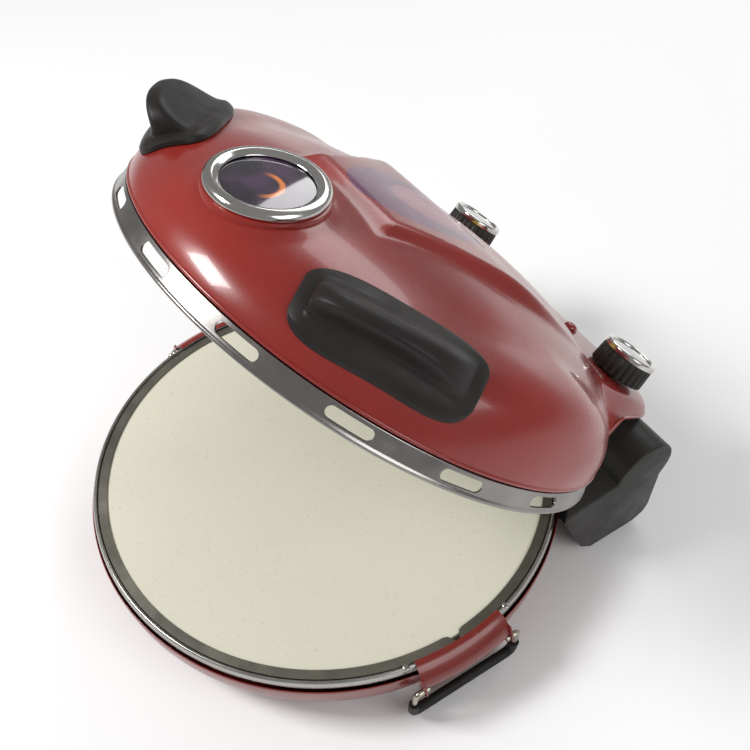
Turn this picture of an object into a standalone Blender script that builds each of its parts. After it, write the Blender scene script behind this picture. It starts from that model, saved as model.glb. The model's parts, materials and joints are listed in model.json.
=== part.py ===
"""Clamshell countertop pizza oven: a round red base with a stone, and a domed lid hinged at the back.

Frame: origin in the middle of the bottom cover's underside, +Z up, the user stands at -Y and the hinge
is at +Y. All sizes are metres. Heights are measured from the ground, which lies FOOT_HEIGHT below the
origin, and the lid is drawn closed and then opened about its hinge by LID_OPEN.
"""
import math

import bmesh
import bpy
from mathutils import Matrix, Vector

MM = 0.001

# ---- driving sizes -------------------------------------------------------------------------------
PAN_RADIUS = 0.170          # outside of the red base pan
PAN_HEIGHT = 0.050          # top of the pan's rim above the ground
PAN_WALL = 0.0012
FOOT_HEIGHT = 0.010
FOOT_RADIUS = 0.011
FOOT_CIRCLE = 0.112         # radius of the circle the feet stand on
OPENING_RADIUS = 0.098      # hole in the pan's floor, inside the feet, closed by the bottom cover
PAD_RADIUS = 0.134
STONE_RADIUS = 0.160
STONE_THICKNESS = 0.009
STONE_TOP = 0.0563
LINER_WALL = 0.0008
RIM_TOP = 0.0588            # top of the liner's rolled rim
STRIP_WIDTH = 0.0066        # spring strip that holds the stone down
STRIP_GAP = 0.004
ELEMENT_TUBE = 0.00325      # radius of both heating elements
LOWER_ELEMENT_RADIUS = 0.110
LOWER_ELEMENT_Z = 0.030
UPPER_ELEMENT_RADIUS = 0.095
UPPER_ELEMENT_H = 0.030     # above the lid ring's lower edge

LID_OPEN = math.radians(42.3)
HINGE_Y = 0.1764
HINGE_Z = 0.0716
LID_BOTTOM = 0.060          # lower edge of the closed lid's steel ring
RING_RADIUS = 0.1719
RING_HEIGHT = 0.014
RING_WALL = 0.001
SLOT_LENGTH = 0.027
SLOT_HEIGHT = 0.0068
SLOT_STEP = math.radians(22.5)
SLOTS_EACH_SIDE = 6
DOME_RADIUS = 0.169
DOME_TOP = 0.080            # above the ring's lower edge
DOME_WALL = 0.0022
DOME_POWER = 2.2            # squareness of the dome's profile
CONSOLE_RISE = 0.004        # console above the dome's crown
DECK_HEIGHT = 0.053         # flat rear deck that carries the knobs
DECK_HALF_WIDTH = 0.118
DECK_BACK = 0.202
EAVE_HEIGHT = 0.038         # lower edge of the overhanging rear deck

WINDOW_Y = -0.128
WINDOW_TILT = math.radians(27)
WINDOW_HOLE = 0.029
BEZEL_RADIUS = 0.0335
GLASS_THICKNESS = 0.003

GRIP_CENTRE = (0.106, -0.1114)
GRIP_LENGTH = 0.100
GRIP_WIDTH = 0.046
GRIP_PLATE = 0.005
GRIP_FIN = 0.021

KNOB_X = 0.0843
KNOB_Y = 0.152
KNOB_RADIUS = 0.0195
KNOB_HEIGHT = 0.020
KNOB_RIBS = 24
SHAFT_RADIUS = 0.003
LAMP_X = 0.032
LAMP_Y = 0.160
LAMP_RADIUS = 0.0055

HOUSING_HALF_WIDTH = 0.138
NOTCH_HALF_WIDTH = 0.078
NOTCH_FLOOR = 0.056
BARREL_RADIUS = 0.0243
PIN_RADIUS = 0.004
PIN_LENGTH = 0.034
KNUCKLE_RADIUS = 0.011
KNUCKLE_INNER = 0.052       # inner end of each lid knuckle, clear of the lid's ring

BRACKET_ANGLE = math.radians(11.4)
BRACKET_WALL = 0.0012
BAIL_WIRE = 0.002
BAIL_HALF_WIDTH = 0.0405
BAIL_DROP = 0.033
BAIL_BEND = 0.007
BAIL_X = 0.1752
BAIL_Z = 0.0425
SLEEVE_WALL = 0.0013

GAP = 0.0003                # running and seating gap between touching pieces

BIG = 48                    # sides of the large round pieces
MEDIUM = 24
SMALL = 12


# ---- modelling helpers ---------------------------------------------------------------------------
def clear_scene():
    for item in list(bpy.data.objects):
        bpy.data.objects.remove(item, do_unlink=True)


def material(name, colour, roughness, metallic=0.0):
    made = bpy.data.materials.get(name)
    if made is None:
        made = bpy.data.materials.new(name)
        made.use_nodes = True
        shader = made.node_tree.nodes["Principled BSDF"]
        shader.inputs["Base Color"].default_value = (*colour, 1.0)
        shader.inputs["Roughness"].default_value = roughness
        shader.inputs["Metallic"].default_value = metallic
        made.diffuse_color = (*colour, 1.0)
    return made


def red_paint():
    return material("red_paint", (0.36, 0.035, 0.02), 0.25)


def steel():
    return material("steel", (0.55, 0.55, 0.54), 0.35, 1.0)


def chrome():
    return material("chrome", (0.75, 0.75, 0.75), 0.12, 1.0)


def black_plastic():
    return material("black_plastic", (0.03, 0.028, 0.026), 0.5)


def rubber():
    return material("rubber", (0.02, 0.02, 0.02), 0.8)


def ceramic():
    return material("ceramic", (0.8, 0.78, 0.7), 0.7)


def finish(name, bm, look, parent=None):
    """Turn a bmesh into one named object with its faces pointing out."""
    bmesh.ops.recalc_face_normals(bm, faces=bm.faces)
    mesh = bpy.data.meshes.new(name)
    bm.to_mesh(mesh)
    bm.free()
    mesh.shade_smooth()
    mesh.set_sharp_from_angle(angle=math.radians(35))
    mesh.materials.append(look)
    made = bpy.data.objects.new(name, mesh)
    bpy.context.collection.objects.link(made)
    if parent is not None:
        made.parent = parent
    return made


def loft(bm, rings):
    """Join equal loops of points with quads and cap the two ends."""
    loops = [[bm.verts.new(p) for p in ring] for ring in rings]
    for first, second in zip(loops, loops[1:]):
        for i in range(len(first)):
            j = (i + 1) % len(first)
            bm.faces.new((first[i], first[j], second[j], second[i]))
    bm.faces.new(loops[0])
    bm.faces.new(loops[-1])


def turned(name, profile, look, parent=None, sides=BIG, frame=Matrix.Identity(4)):
    """Turn a closed outline of (radius, height) points about the frame's Z axis."""
    bm = bmesh.new()
    columns = []
    for radius, height in profile:
        if radius < 1e-7:
            columns.append([bm.verts.new((0, 0, height))] * sides)
        else:
            turns = [2 * math.pi * k / sides for k in range(sides)]
            columns.append(
                [bm.verts.new((radius * math.cos(a), radius * math.sin(a), height)) for a in turns]
            )
    count = len(columns)
    for n in range(count):
        lower, upper = columns[n], columns[(n + 1) % count]
        for i in range(sides):
            j = (i + 1) % sides
            corners = []
            for vert in (lower[i], lower[j], upper[j], upper[i]):
                if vert not in corners:
                    corners.append(vert)
            if len(corners) > 2:
                bm.faces.new(corners)
    bm.transform(frame)
    return finish(name, bm, look, parent)


def prism(bm, outline, direction, start, end):
    """Extrude a flat outline along axis 0, 1 or 2; outline points are the other two axes, in order."""
    rings = []
    for place in (start, end):
        ring = []
        for a, b in outline:
            point = [a, b]
            point.insert(direction, place)
            ring.append(point)
        rings.append(ring)
    loft(bm, rings)


def block(name, low, high, look, parent=None, bevel=0.0):
    bm = bmesh.new()
    outline = [(low[0], low[1]), (high[0], low[1]), (high[0], high[1]), (low[0], high[1])]
    prism(bm, outline, 2, low[2], high[2])
    made = finish(name, bm, look, parent)
    if bevel > 0:
        soften(made, bevel)
    return made


def soften(made, width, segments=1):
    edge = made.modifiers.new("edges", "BEVEL")
    edge.width = width
    edge.segments = segments
    edge.limit_method = "ANGLE"
    edge.angle_limit = math.radians(40)
    return made


def smooth_path(points, bend, steps=4):
    """Replace each inner corner of a path by an arc of about the given radius."""
    out = [Vector(points[0])]
    for before, corner, after in zip(points, points[1:], points[2:]):
        corner = Vector(corner)
        back = (Vector(before) - corner).normalized()
        ahead = (Vector(after) - corner).normalized()
        for k in range(steps + 1):
            t = k / steps
            out.append(corner + back * bend * (1 - t) ** 2 + ahead * bend * t ** 2)
    out.append(Vector(points[-1]))
    return out


def path_frames(points):
    """Directions across a path, carried along it without twist."""
    count = len(points)
    tangents = []
    for i in range(count):
        a = points[max(i - 1, 0)]
        b = points[min(i + 1, count - 1)]
        tangents.append((b - a).normalized())
    side = tangents[0].orthogonal().normalized()
    frames = []
    for point, tangent in zip(points, tangents):
        side = (side - tangent * side.dot(tangent)).normalized()
        frames.append((point, side, tangent.cross(side)))
    return frames


def path_rings(points, radius, sides):
    rings = []
    for point, side, up in path_frames(points):
        turns = [2 * math.pi * k / sides for k in range(sides)]
        rings.append([point + radius * (math.cos(a) * side + math.sin(a) * up) for a in turns])
    return rings


def rod(name, points, radius, look, parent=None, sides=8):
    bm = bmesh.new()
    loft(bm, path_rings(points, radius, sides))
    return finish(name, bm, look, parent)


def hose(name, points, outer, inner, look, parent=None, sides=8):
    """A hollow tube along a path, open at both ends."""
    bm = bmesh.new()
    outside = path_rings(points, outer, sides)
    inside = path_rings(points, inner, sides)
    count = len(outside)
    out_loops = [[bm.verts.new(p) for p in ring] for ring in outside]
    in_loops = [[bm.verts.new(p) for p in ring] for ring in inside]
    for loops, flip in ((out_loops, False), (in_loops, True)):
        for first, second in zip(loops, loops[1:]):
            for i in range(sides):
                j = (i + 1) % sides
                corners = (first[i], first[j], second[j], second[i])
                bm.faces.new(corners[::-1] if flip else corners)
    for end in (0, count - 1):
        for i in range(sides):
            j = (i + 1) % sides
            bm.faces.new((out_loops[end][i], out_loops[end][j], in_loops[end][j], in_loops[end][i]))
    return finish(name, bm, look, parent)


def cutter(name, bm, parent=None):
    """A wire-frame guide that only serves Boolean modifiers."""
    made = finish(name, bm, steel(), parent)
    made.hide_render = True
    made.display_type = "WIRE"
    return made


def boolean(target, tool, operation):
    change = target.modifiers.new(operation.lower(), "BOOLEAN")
    change.operation = operation
    change.object = tool
    change.solver = "EXACT"


def cylinder_cutter(name, radius, low, high, sides=SMALL, frame=Matrix.Identity(4), parent=None):
    bm = bmesh.new()
    turns = [2 * math.pi * k / sides for k in range(sides)]
    rings = [
        [(radius * math.cos(a), radius * math.sin(a), height) for a in turns] for height in (low, high)
    ]
    loft(bm, rings)
    bm.transform(frame)
    return cutter(name, bm, parent)


def box_cutter(name, low, high, parent=None):
    bm = bmesh.new()
    outline = [(low[0], low[1]), (high[0], low[1]), (high[0], high[1]), (low[0], high[1])]
    prism(bm, outline, 2, low[2], high[2])
    return cutter(name, bm, parent)


def ramp(value, start, end):
    """0 before start, 1 after end, smooth in between."""
    t = min(max((value - start) / (end - start), 0.0), 1.0)
    return t * t * (3 - 2 * t)


# ---- the base ------------------------------------------------------------------------------------
def base_pan():
    r, top, low, wall = PAN_RADIUS, PAN_HEIGHT, FOOT_HEIGHT, PAN_WALL
    outer = [
        (OPENING_RADIUS, low), (r - 20 * MM, low + 0.5 * MM), (r - 11 * MM, low + 5 * MM),
        (r - 5 * MM, low + 14 * MM), (r - 1.5 * MM, top - 16 * MM), (r - 0.5 * MM, top - 8 * MM),
        (r, top - 1 * MM),
        (r - 0.3 * MM, top),
    ]
    inner = [
        (r - wall, top - 0.2 * MM), (r - wall - 0.5 * MM, top - 8 * MM),
        (r - wall - 1.5 * MM, top - 15.6 * MM),
        (r - wall - 4.9 * MM, low + 14.6 * MM), (r - wall - 10.5 * MM, low + 6 * MM),
        (r - 20.4 * MM, low + 0.5 * MM + wall), (OPENING_RADIUS, low + wall),
    ]
    return turned("base_pan", outer + inner, red_paint())


def bottom_cover():
    edge = OPENING_RADIUS - GAP
    low = FOOT_HEIGHT
    return turned(
        "bottom_cover", [(0, low), (edge, low), (edge, low + PAN_WALL), (0, low + PAN_WALL)], steel(),
    )


def feet():
    profile = [
        (0, 0), (FOOT_RADIUS - 1.5 * MM, 0), (FOOT_RADIUS, 1.5 * MM), (FOOT_RADIUS, FOOT_HEIGHT - 3 * MM),
        (FOOT_RADIUS - 2.5 * MM, FOOT_HEIGHT - GAP), (0, FOOT_HEIGHT - GAP),
    ]
    for n in range(4):
        angle = math.radians(45 + 90 * n)
        place = Matrix.Translation((FOOT_CIRCLE * math.cos(angle), FOOT_CIRCLE * math.sin(angle), 0))
        turned("foot_%d" % (n + 1), profile, rubber(), sides=SMALL, frame=place)


def insulation_pad():
    low = FOOT_HEIGHT + PAN_WALL + 0.8 * MM
    high = liner_floor() - LINER_WALL - GAP
    edge = PAD_RADIUS
    return turned(
        "insulation_pad", [(0, low), (edge, low), (edge, high), (0, high)], ceramic(), sides=MEDIUM,
    )


def liner_floor():
    return FOOT_HEIGHT + 7 * MM


def ledge_top():
    return STONE_TOP - STONE_THICKNESS - GAP


def liner_inner_radius():
    return PAN_RADIUS - 5.8 * MM


def base_liner():
    """Steel tray that holds the lower element, the stone and the rolled bright rim."""
    wall, floor, ledge = LINER_WALL, liner_floor(), ledge_top()
    side = liner_inner_radius()
    well = STONE_RADIUS - 11 * MM
    skirt = PAN_HEIGHT + 1.5 * MM
    inside = [
        (0, floor), (well - 5 * MM, floor), (well, floor + 5 * MM), (well + 0.5 * MM, ledge - 0.2 * MM),
        (side, ledge), (side, RIM_TOP - 2.4 * MM), (side + 0.7 * MM, RIM_TOP - 0.5 * MM),
        (side + 2 * MM, RIM_TOP),
        (side + 3.2 * MM, RIM_TOP - 1.2 * MM), (side + 3.7 * MM, RIM_TOP - 4 * MM),
        (side + 3.7 * MM, skirt),
    ]
    outside = [
        (side + 2.9 * MM, skirt), (side + 2.9 * MM, RIM_TOP - 4.2 * MM),
        (side + 2.4 * MM, RIM_TOP - 1.7 * MM),
        (side + 1.9 * MM, RIM_TOP - 0.9 * MM), (side + 1.3 * MM, RIM_TOP - 1.2 * MM),
        (side + wall, RIM_TOP - 3 * MM), (side + wall, ledge - wall),
        (well + 0.5 * MM + wall, ledge - 1.1 * MM),
        (well + wall, floor + 4.7 * MM), (well - 4.6 * MM, floor - wall), (0, floor - wall),
    ]
    liner = turned("base_liner", inside + outside, steel())
    for side_x in (-1, 1):
        reach = Matrix.Translation((side_x * terminal_x(), 0, LOWER_ELEMENT_Z)) @ Matrix.Rotation(
            -math.pi / 2, 4, "X",
        )
        hole = cylinder_cutter(
            "liner_hole_%d" % side_x, ELEMENT_TUBE + 2 * GAP, well - 15 * MM, well + 8 * MM, 12, reach,
        )
        boolean(liner, hole, "DIFFERENCE")
    return liner


def pizza_stone():
    low, high, chamfer = STONE_TOP - STONE_THICKNESS, STONE_TOP, 0.8 * MM
    edge = STONE_RADIUS
    profile = [
        (0, low), (edge - chamfer, low), (edge, low + chamfer), (edge, high - chamfer),
        (edge - chamfer, high),
        (0, high),
    ]
    return turned("pizza_stone", profile, ceramic())


def stone_strip():
    """Split spring strip over the stone's edge; its two ends nearly meet beside the right-hand bracket."""
    low = STONE_TOP + GAP
    high = low + 1.0 * MM
    outer = liner_inner_radius() - GAP
    inner = outer - STRIP_WIDTH
    start = STRIP_GAP / 2 / outer
    steps = 48
    bm = bmesh.new()
    rings = []
    for k in range(steps + 1):
        angle = start + (2 * math.pi - 2 * start) * k / steps
        radii = (inner + 2.5 * MM, outer) if k in (0, steps) else (inner, outer)
        along = Vector((math.cos(angle), math.sin(angle), 0))
        rings.append([
            along * radii[0] + Vector((0, 0, low)), along * radii[1] + Vector((0, 0, low)),
            along * radii[1] + Vector((0, 0, high)), along * radii[0] + Vector((0, 0, high)),
        ])
    loft(bm, rings)
    return finish("stone_strip", bm, steel())


def terminal_x():
    return 9 * MM


def element(name, radius, height, reach, parent=None):
    """Ring-shaped tubular heater whose two ends turn back through the rear wall."""
    opening = math.asin((terminal_x() + 9 * MM) / radius)
    first = math.pi / 2 - opening
    turns = [first - (2 * math.pi - 2 * opening) * k / 28 for k in range(29)]
    ring = [Vector((radius * math.cos(a), radius * math.sin(a), height)) for a in turns]
    start = [Vector((terminal_x(), reach, height)), Vector((terminal_x(), radius + 9 * MM, height))]
    end = [Vector((-terminal_x(), radius + 9 * MM, height)), Vector((-terminal_x(), reach, height))]
    return rod(name, start + ring + end, ELEMENT_TUBE, steel(), parent)


def lower_heater():
    reach = STONE_RADIUS - 7 * MM
    element("lower_element", LOWER_ELEMENT_RADIUS, LOWER_ELEMENT_Z, reach)
    low = liner_floor() + GAP
    high = LOWER_ELEMENT_Z - ELEMENT_TUBE - GAP
    for n in range(3):
        angle = math.radians(-90 + 120 * n)
        clip = block("lower_clip_%d" % (n + 1), (-4 * MM, -2 * MM, low), (4 * MM, 2 * MM, high), steel())
        clip.location = (LOWER_ELEMENT_RADIUS * math.cos(angle), LOWER_ELEMENT_RADIUS * math.sin(angle), 0)
        clip.rotation_euler = (0, 0, angle)
    half = 4.5 * MM
    block(
        "terminal_block", (-15 * MM, reach + GAP, LOWER_ELEMENT_Z - half),
        (15 * MM, reach + 8 * MM, LOWER_ELEMENT_Z + half),
        ceramic(), bevel=0.8 * MM,
    )


# ---- side brackets and wire handles --------------------------------------------------------------
def bracket_profile():
    """Section of the strap: over the rim, then down outside the pan; (radius, height), top side first."""
    over = RIM_TOP + GAP
    r = PAN_RADIUS
    top = [
        (r - 6 * MM, over + 0.9 * MM), (r - 2 * MM, over + 0.6 * MM), (r + 2.6 * MM, over - 2.9 * MM),
        (r + 7.2 * MM, over - 8.4 * MM), (r + 8.6 * MM, over - 14.4 * MM),
    ]
    under = [
        (r + 7.4 * MM, over - 14.4 * MM), (r + 6.2 * MM, over - 9 * MM), (r + 1.9 * MM, over - 3.7 * MM),
        (r - 2.3 * MM, over - 0.2 * MM), (r - 6 * MM, over),
    ]
    return top + under


def side_bracket(name, turn):
    bm = bmesh.new()
    steps = 8
    rings = []
    for k in range(steps + 1):
        angle = -BRACKET_ANGLE + 2 * BRACKET_ANGLE * k / steps
        rings.append([(r * math.cos(angle), r * math.sin(angle), z) for r, z in bracket_profile()])
    loft(bm, rings)
    bm.transform(Matrix.Rotation(turn, 4, "Z"))
    strap = finish(name, bm, red_paint())
    over = RIM_TOP + GAP
    for side in (-1, 1):
        tab = bmesh.new()
        place = side * (PAN_RADIUS + 6 * MM) * math.sin(BRACKET_ANGLE)
        low, high = (place - BRACKET_WALL, place) if side > 0 else (place, place + BRACKET_WALL)
        outline = [
            (PAN_RADIUS + 0.8 * MM, over - 9 * MM), (PAN_RADIUS + 3 * MM, over - 5 * MM),
            (PAN_RADIUS + 6.4 * MM, over - 8.9 * MM),
            (PAN_RADIUS + 8 * MM, over - 14.4 * MM), (BAIL_X + 3.6 * MM, BAIL_Z - 2 * MM),
            (BAIL_X + 1.5 * MM, BAIL_Z - 4.2 * MM), (BAIL_X - 2 * MM, BAIL_Z - 4 * MM),
            (PAN_RADIUS + 0.8 * MM, BAIL_Z),
        ]
        prism(tab, outline, 1, low, high)
        tab.transform(Matrix.Rotation(turn, 4, "Z"))
        boolean(strap, cutter("%s_tab_%d" % (name, side), tab), "UNION")
    pivot = Matrix.Rotation(turn, 4, "Z") @ Matrix.Translation((BAIL_X, 0, BAIL_Z))
    reach = pivot @ Matrix.Rotation(math.pi / 2, 4, "X")
    hole = cylinder_cutter(name + "_hole", BAIL_WIRE + GAP, -50 * MM, 50 * MM, 12, reach)
    boolean(strap, hole, "DIFFERENCE")
    return strap


def bail_path():
    """Right half to left half of the wire, as seen from its pivot line, hanging down."""
    w, drop = BAIL_HALF_WIDTH, BAIL_DROP
    inner = (PAN_RADIUS + 6 * MM) * math.sin(BRACKET_ANGLE) - 4 * MM
    corners = [
        (0, -inner, 0), (0, -w, 0), (-3 * MM, -w, -drop), (-3 * MM, w, -drop), (0, w, 0), (0, inner, 0),
    ]
    return corners


def wire_handle(side_name, turn):
    pivot = bpy.data.objects.new("bail_axis_" + side_name, None)
    bpy.context.collection.objects.link(pivot)
    pivot.location = (BAIL_X * math.cos(turn), BAIL_X * math.sin(turn), BAIL_Z)
    pivot.rotation_euler = (0, 0, turn)
    corners = bail_path()
    points = [Vector(corners[0])]
    for n, bend in ((1, 3 * MM), (2, BAIL_BEND), (3, BAIL_BEND), (4, 3 * MM)):
        points += smooth_path(corners[n - 1:n + 2], bend)[1:-1]
    points.append(Vector(corners[-1]))
    rod("bail_" + side_name, points, BAIL_WIRE, chrome(), pivot)
    grip_top = -BAIL_DROP * 0.52
    lean = 3 * MM * 0.52
    w = BAIL_HALF_WIDTH
    sleeve = [(-lean, -w, grip_top), corners[2], corners[3], (-lean, w, grip_top)]
    points = smooth_path(sleeve[:3], BAIL_BEND)[:-1] + smooth_path(sleeve[1:], BAIL_BEND)[1:]
    bore = BAIL_WIRE + GAP
    hose("bail_sleeve_" + side_name, points, bore + SLEEVE_WALL, bore, rubber(), pivot)


def rivet(name, angle):
    """Dome-headed rivet standing on the liner's rim beside a bracket."""
    head, low = 2.6 * MM, RIM_TOP + GAP
    profile = [
        (0, low), (head, low), (head * 0.85, low + 0.8 * MM), (head * 0.4, low + 1.2 * MM),
        (0, low + 1.3 * MM),
    ]
    radius = liner_inner_radius() + 2 * MM
    place = Matrix.Translation((radius * math.cos(angle), radius * math.sin(angle), 0))
    turned(name, profile, chrome(), sides=12, frame=place)


def handles():
    number = 1
    for side_name, turn in (("right", 0.0), ("left", math.pi)):
        side_bracket("side_bracket_" + side_name, turn)
        wire_handle(side_name, turn)
        for offset in (-1, 1):
            rivet("bracket_rivet_%d" % number, turn + offset * (BRACKET_ANGLE + math.radians(2.2)))
            number += 1


# ---- hinge housing on the base -------------------------------------------------------------------
def housing_profile():
    """Side outline (y, z): a block behind the pan whose top is a barrel about the hinge line."""
    points = [
        (HINGE_Y - 34 * MM, 3 * MM), (HINGE_Y + 7 * MM, 3 * MM), (HINGE_Y + 16 * MM, 8 * MM),
        (HINGE_Y + 19 * MM, 16 * MM), (HINGE_Y + 19 * MM, HINGE_Z - 17 * MM),
    ]
    for k in range(14):
        angle = math.radians(-20 + 15 * k)
        points.append(
            (HINGE_Y + BARREL_RADIUS * math.cos(angle), HINGE_Z + BARREL_RADIUS * math.sin(angle)),
        )
    points += [(HINGE_Y - 70 * MM, HINGE_Z - 2 * MM), (HINGE_Y - 44 * MM, 12 * MM)]
    return points


def hinge_housing():
    bm = bmesh.new()
    prism(bm, housing_profile(), 0, -HOUSING_HALF_WIDTH, HOUSING_HALF_WIDTH)
    housing = finish("hinge_housing", bm, black_plastic())
    edge = 2 * MM
    soften(housing, edge)
    pan = cylinder_cutter("housing_pan_cut", PAN_RADIUS + GAP, -10 * MM, PAN_HEIGHT + 2 * MM, 96)
    lid = cylinder_cutter("housing_lid_cut", RING_RADIUS + 3 * MM, PAN_HEIGHT + 1 * MM, 150 * MM, 96)
    notch = box_cutter(
        "housing_notch", (-NOTCH_HALF_WIDTH, HINGE_Y - 90 * MM, NOTCH_FLOOR),
        (NOTCH_HALF_WIDTH, HINGE_Y + 60 * MM, 0.150),
    )
    turn = Matrix.Translation((0, HINGE_Y, HINGE_Z)) @ Matrix.Rotation(math.pi / 2, 4, "Y")
    reach = NOTCH_HALF_WIDTH + PIN_LENGTH / 2 + GAP
    bore = cylinder_cutter("housing_bore", PIN_RADIUS + GAP, -reach, reach, SMALL, turn)
    gland = Matrix.Translation((gland_x(), 0, gland_z())) @ Matrix.Rotation(-math.pi / 2, 4, "X")
    port = cylinder_cutter(
        "housing_port", gland_radius() - 2 * MM + GAP, HINGE_Y, HINGE_Y + 40 * MM, SMALL, gland,
    )
    for tool in (pan, lid, notch, bore, port):
        boolean(housing, tool, "DIFFERENCE")
    return housing


def gland_x():
    return 0.100


def gland_z():
    return 0.030


def gland_radius():
    return 0.0085


def cord_gland():
    """Moulded inlet bush in the housing's back, where the mains lead would enter."""
    face = HINGE_Y + 19 * MM
    radius, bore = gland_radius(), 3.6 * MM
    stem = radius - 2 * MM
    profile = [
        (bore, face - 9 * MM), (stem, face - 9 * MM), (stem, face + GAP), (radius, face + GAP),
        (radius, face + 2 * MM), (radius - 2 * MM, face + 6 * MM), (bore, face + 6 * MM),
    ]
    place = Matrix.Translation((gland_x(), 0, gland_z())) @ Matrix.Rotation(-math.pi / 2, 4, "X")
    turned("cord_gland", profile, rubber(), sides=SMALL, frame=place)


def hinge_pins():
    for name, side in (("hinge_pin_right", 1), ("hinge_pin_left", -1)):
        inner = side * (NOTCH_HALF_WIDTH - PIN_LENGTH / 2)
        outer = side * (NOTCH_HALF_WIDTH + PIN_LENGTH / 2)
        ends = [Vector((inner, HINGE_Y, HINGE_Z)), Vector((outer, HINGE_Y, HINGE_Z))]
        rod(name, ends, PIN_RADIUS, chrome(), sides=SMALL)


# ---- the lid, drawn closed in world coordinates and hung on its hinge ----------------------------
def lid_empty():
    hinge = bpy.data.objects.new("lid_axis", None)
    bpy.context.collection.objects.link(hinge)
    hinge.location = (0, HINGE_Y, HINGE_Z)
    hinge.rotation_euler = (-LID_OPEN, 0, 0)
    closed = bpy.data.objects.new("lid_closed_frame", None)
    bpy.context.collection.objects.link(closed)
    closed.parent = hinge
    closed.location = (0, -HINGE_Y, LID_BOTTOM - HINGE_Z)
    return closed


def dome_edge(angle):
    """Plan radius of the dome's edge: a circle that flares into the rear deck's rounded rectangle."""
    c, s = abs(math.cos(angle)), math.sin(angle)
    if s <= 0:
        return DOME_RADIUS
    deck = ((c / DECK_HALF_WIDTH) ** 7 + (s / DECK_BACK) ** 7) ** (-1 / 7)
    return (DOME_RADIUS ** 22 + deck ** 22) ** (1 / 22)


def dome_seat():
    return RING_HEIGHT + GAP + 0.1 * MM


def dome_skirt(angle):
    """Height of the dome's lower edge: on the ring, but lifted under the overhanging rear deck."""
    low = dome_seat()
    return low + (EAVE_HEIGHT - low) * ramp(dome_edge(angle), DOME_RADIUS + 1 * MM, DOME_RADIUS + 7 * MM)


def dome_round(radius):
    """Height of the plain round dome at a plan radius."""
    share = min(radius / DOME_RADIUS, 1.0)
    return dome_seat() + (DOME_TOP - dome_seat()) * (1 - share ** DOME_POWER) ** (1 / DOME_POWER)


def console_half_width(y):
    return 0.030 + (DECK_HALF_WIDTH - 0.002 - 0.030) * ramp(y, -0.150, 0.165)


def console_height(x, y):
    """Raised spine from behind the window to the rear deck."""
    along = dome_round(abs(y) * 0.93) + CONSOLE_RISE
    if y > 0:
        drop = ramp(y, 0.0, 0.130)
        along = (DOME_TOP + CONSOLE_RISE) * (1 - drop) + DECK_HEIGHT * drop
    crown = 1.5 * MM * (x / 0.1) ** 2
    flank = ramp(abs(x), console_half_width(y) - 9 * MM, console_half_width(y) + 9 * MM)
    front = 1 - ramp(y, -0.098, -0.070)
    return along - crown - (CONSOLE_RISE + 12 * MM) * max(flank, front)


def lid_height(x, y):
    """Outer surface of the dome above the ring's lower edge."""
    radius = math.hypot(x, y)
    angle = math.atan2(y, x)
    edge, low = dome_edge(angle), dome_skirt(angle)
    share = min(radius / edge, 1.0)
    plain = max(dome_round(radius), low)
    raised = low + max(console_height(x, y) - low, 0.0) * (1 - share ** 14) ** 0.5
    mix = 1.6 * MM
    top = max(plain, raised)
    fillet = mix * math.exp(-abs(plain - raised) / mix) * 0.7 * (1 - share ** 8)
    return min(top + fillet, DOME_TOP + 2 * CONSOLE_RISE)


def lining_height(x, y):
    """Inner surface of the dome, below the lowest outer point nearby, so steep flanks keep their wall."""
    reach = 5 * MM
    around = [(0, 0), (reach, 0), (-reach, 0), (0, reach), (0, -reach)]
    lowest = min(lid_height(x + dx, y + dy) for dx, dy in around)
    return max(lowest - DOME_WALL, dome_skirt(math.atan2(y, x)))


def lid_dome(parent):
    sides, rings = 60, 12
    bm = bmesh.new()
    surfaces = []
    for wall, count in ((0.0, rings), (DOME_WALL, 6)):
        loops = []
        for n in range(count + 1):
            share = math.sin(math.pi / 2 * n / count) ** 0.92
            loop = []
            for k in range(sides):
                angle = 2 * math.pi * k / sides
                edge = dome_edge(angle)
                x, y = share * edge * math.cos(angle), share * edge * math.sin(angle)
                height = lid_height(x, y)
                if wall > 0:
                    height += (lining_height(x, y) - height) * (1 - share ** 10)
                shrink = (edge - wall) / edge
                if n == 0 and k > 0:
                    loop.append(loop[0])
                else:
                    loop.append(bm.verts.new((x * shrink, y * shrink, height)))
            loops.append(loop)
        surfaces.append(loops)
    for loops in surfaces:
        for first, second in zip(loops, loops[1:]):
            for i in range(sides):
                j = (i + 1) % sides
                corners = []
                for vert in (first[i], second[i], second[j], first[j]):
                    if vert not in corners:
                        corners.append(vert)
                bm.faces.new(corners)
    for i in range(sides):
        j = (i + 1) % sides
        outer, inner = surfaces[0][-1], surfaces[1][-1]
        bm.faces.new((outer[i], inner[i], inner[j], outer[j]))
    dome = finish("lid_dome", bm, red_paint(), parent)
    collar_frame = window_frame()
    collar = bmesh.new()
    turns = [2 * math.pi * k / MEDIUM for k in range(MEDIUM)]
    rings = [
        [(radius * math.cos(a), radius * math.sin(a), height) for a in turns]
        for radius, height in (
            (BEZEL_RADIUS + 2.5 * MM, -13 * MM), (BEZEL_RADIUS + 1.2 * MM, 1 * MM), (BEZEL_RADIUS, 2 * MM),
        )
    ]
    loft(collar, rings)
    collar.transform(collar_frame)
    hole = cylinder_cutter("window_hole", WINDOW_HOLE, -40 * MM, 30 * MM, MEDIUM, collar_frame, parent)
    boolean(dome, cutter("window_collar", collar, parent), "UNION")
    boolean(dome, hole, "DIFFERENCE")
    for place, radius in knob_and_lamp_holes():
        drill = cylinder_cutter(
            "deck_hole", radius, -10 * MM, 10 * MM, 12, Matrix.Translation(place), parent,
        )
        boolean(dome, drill, "DIFFERENCE")
    return dome


def deck_point(x, y):
    return Vector((x, y, lid_height(x, y)))


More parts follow.
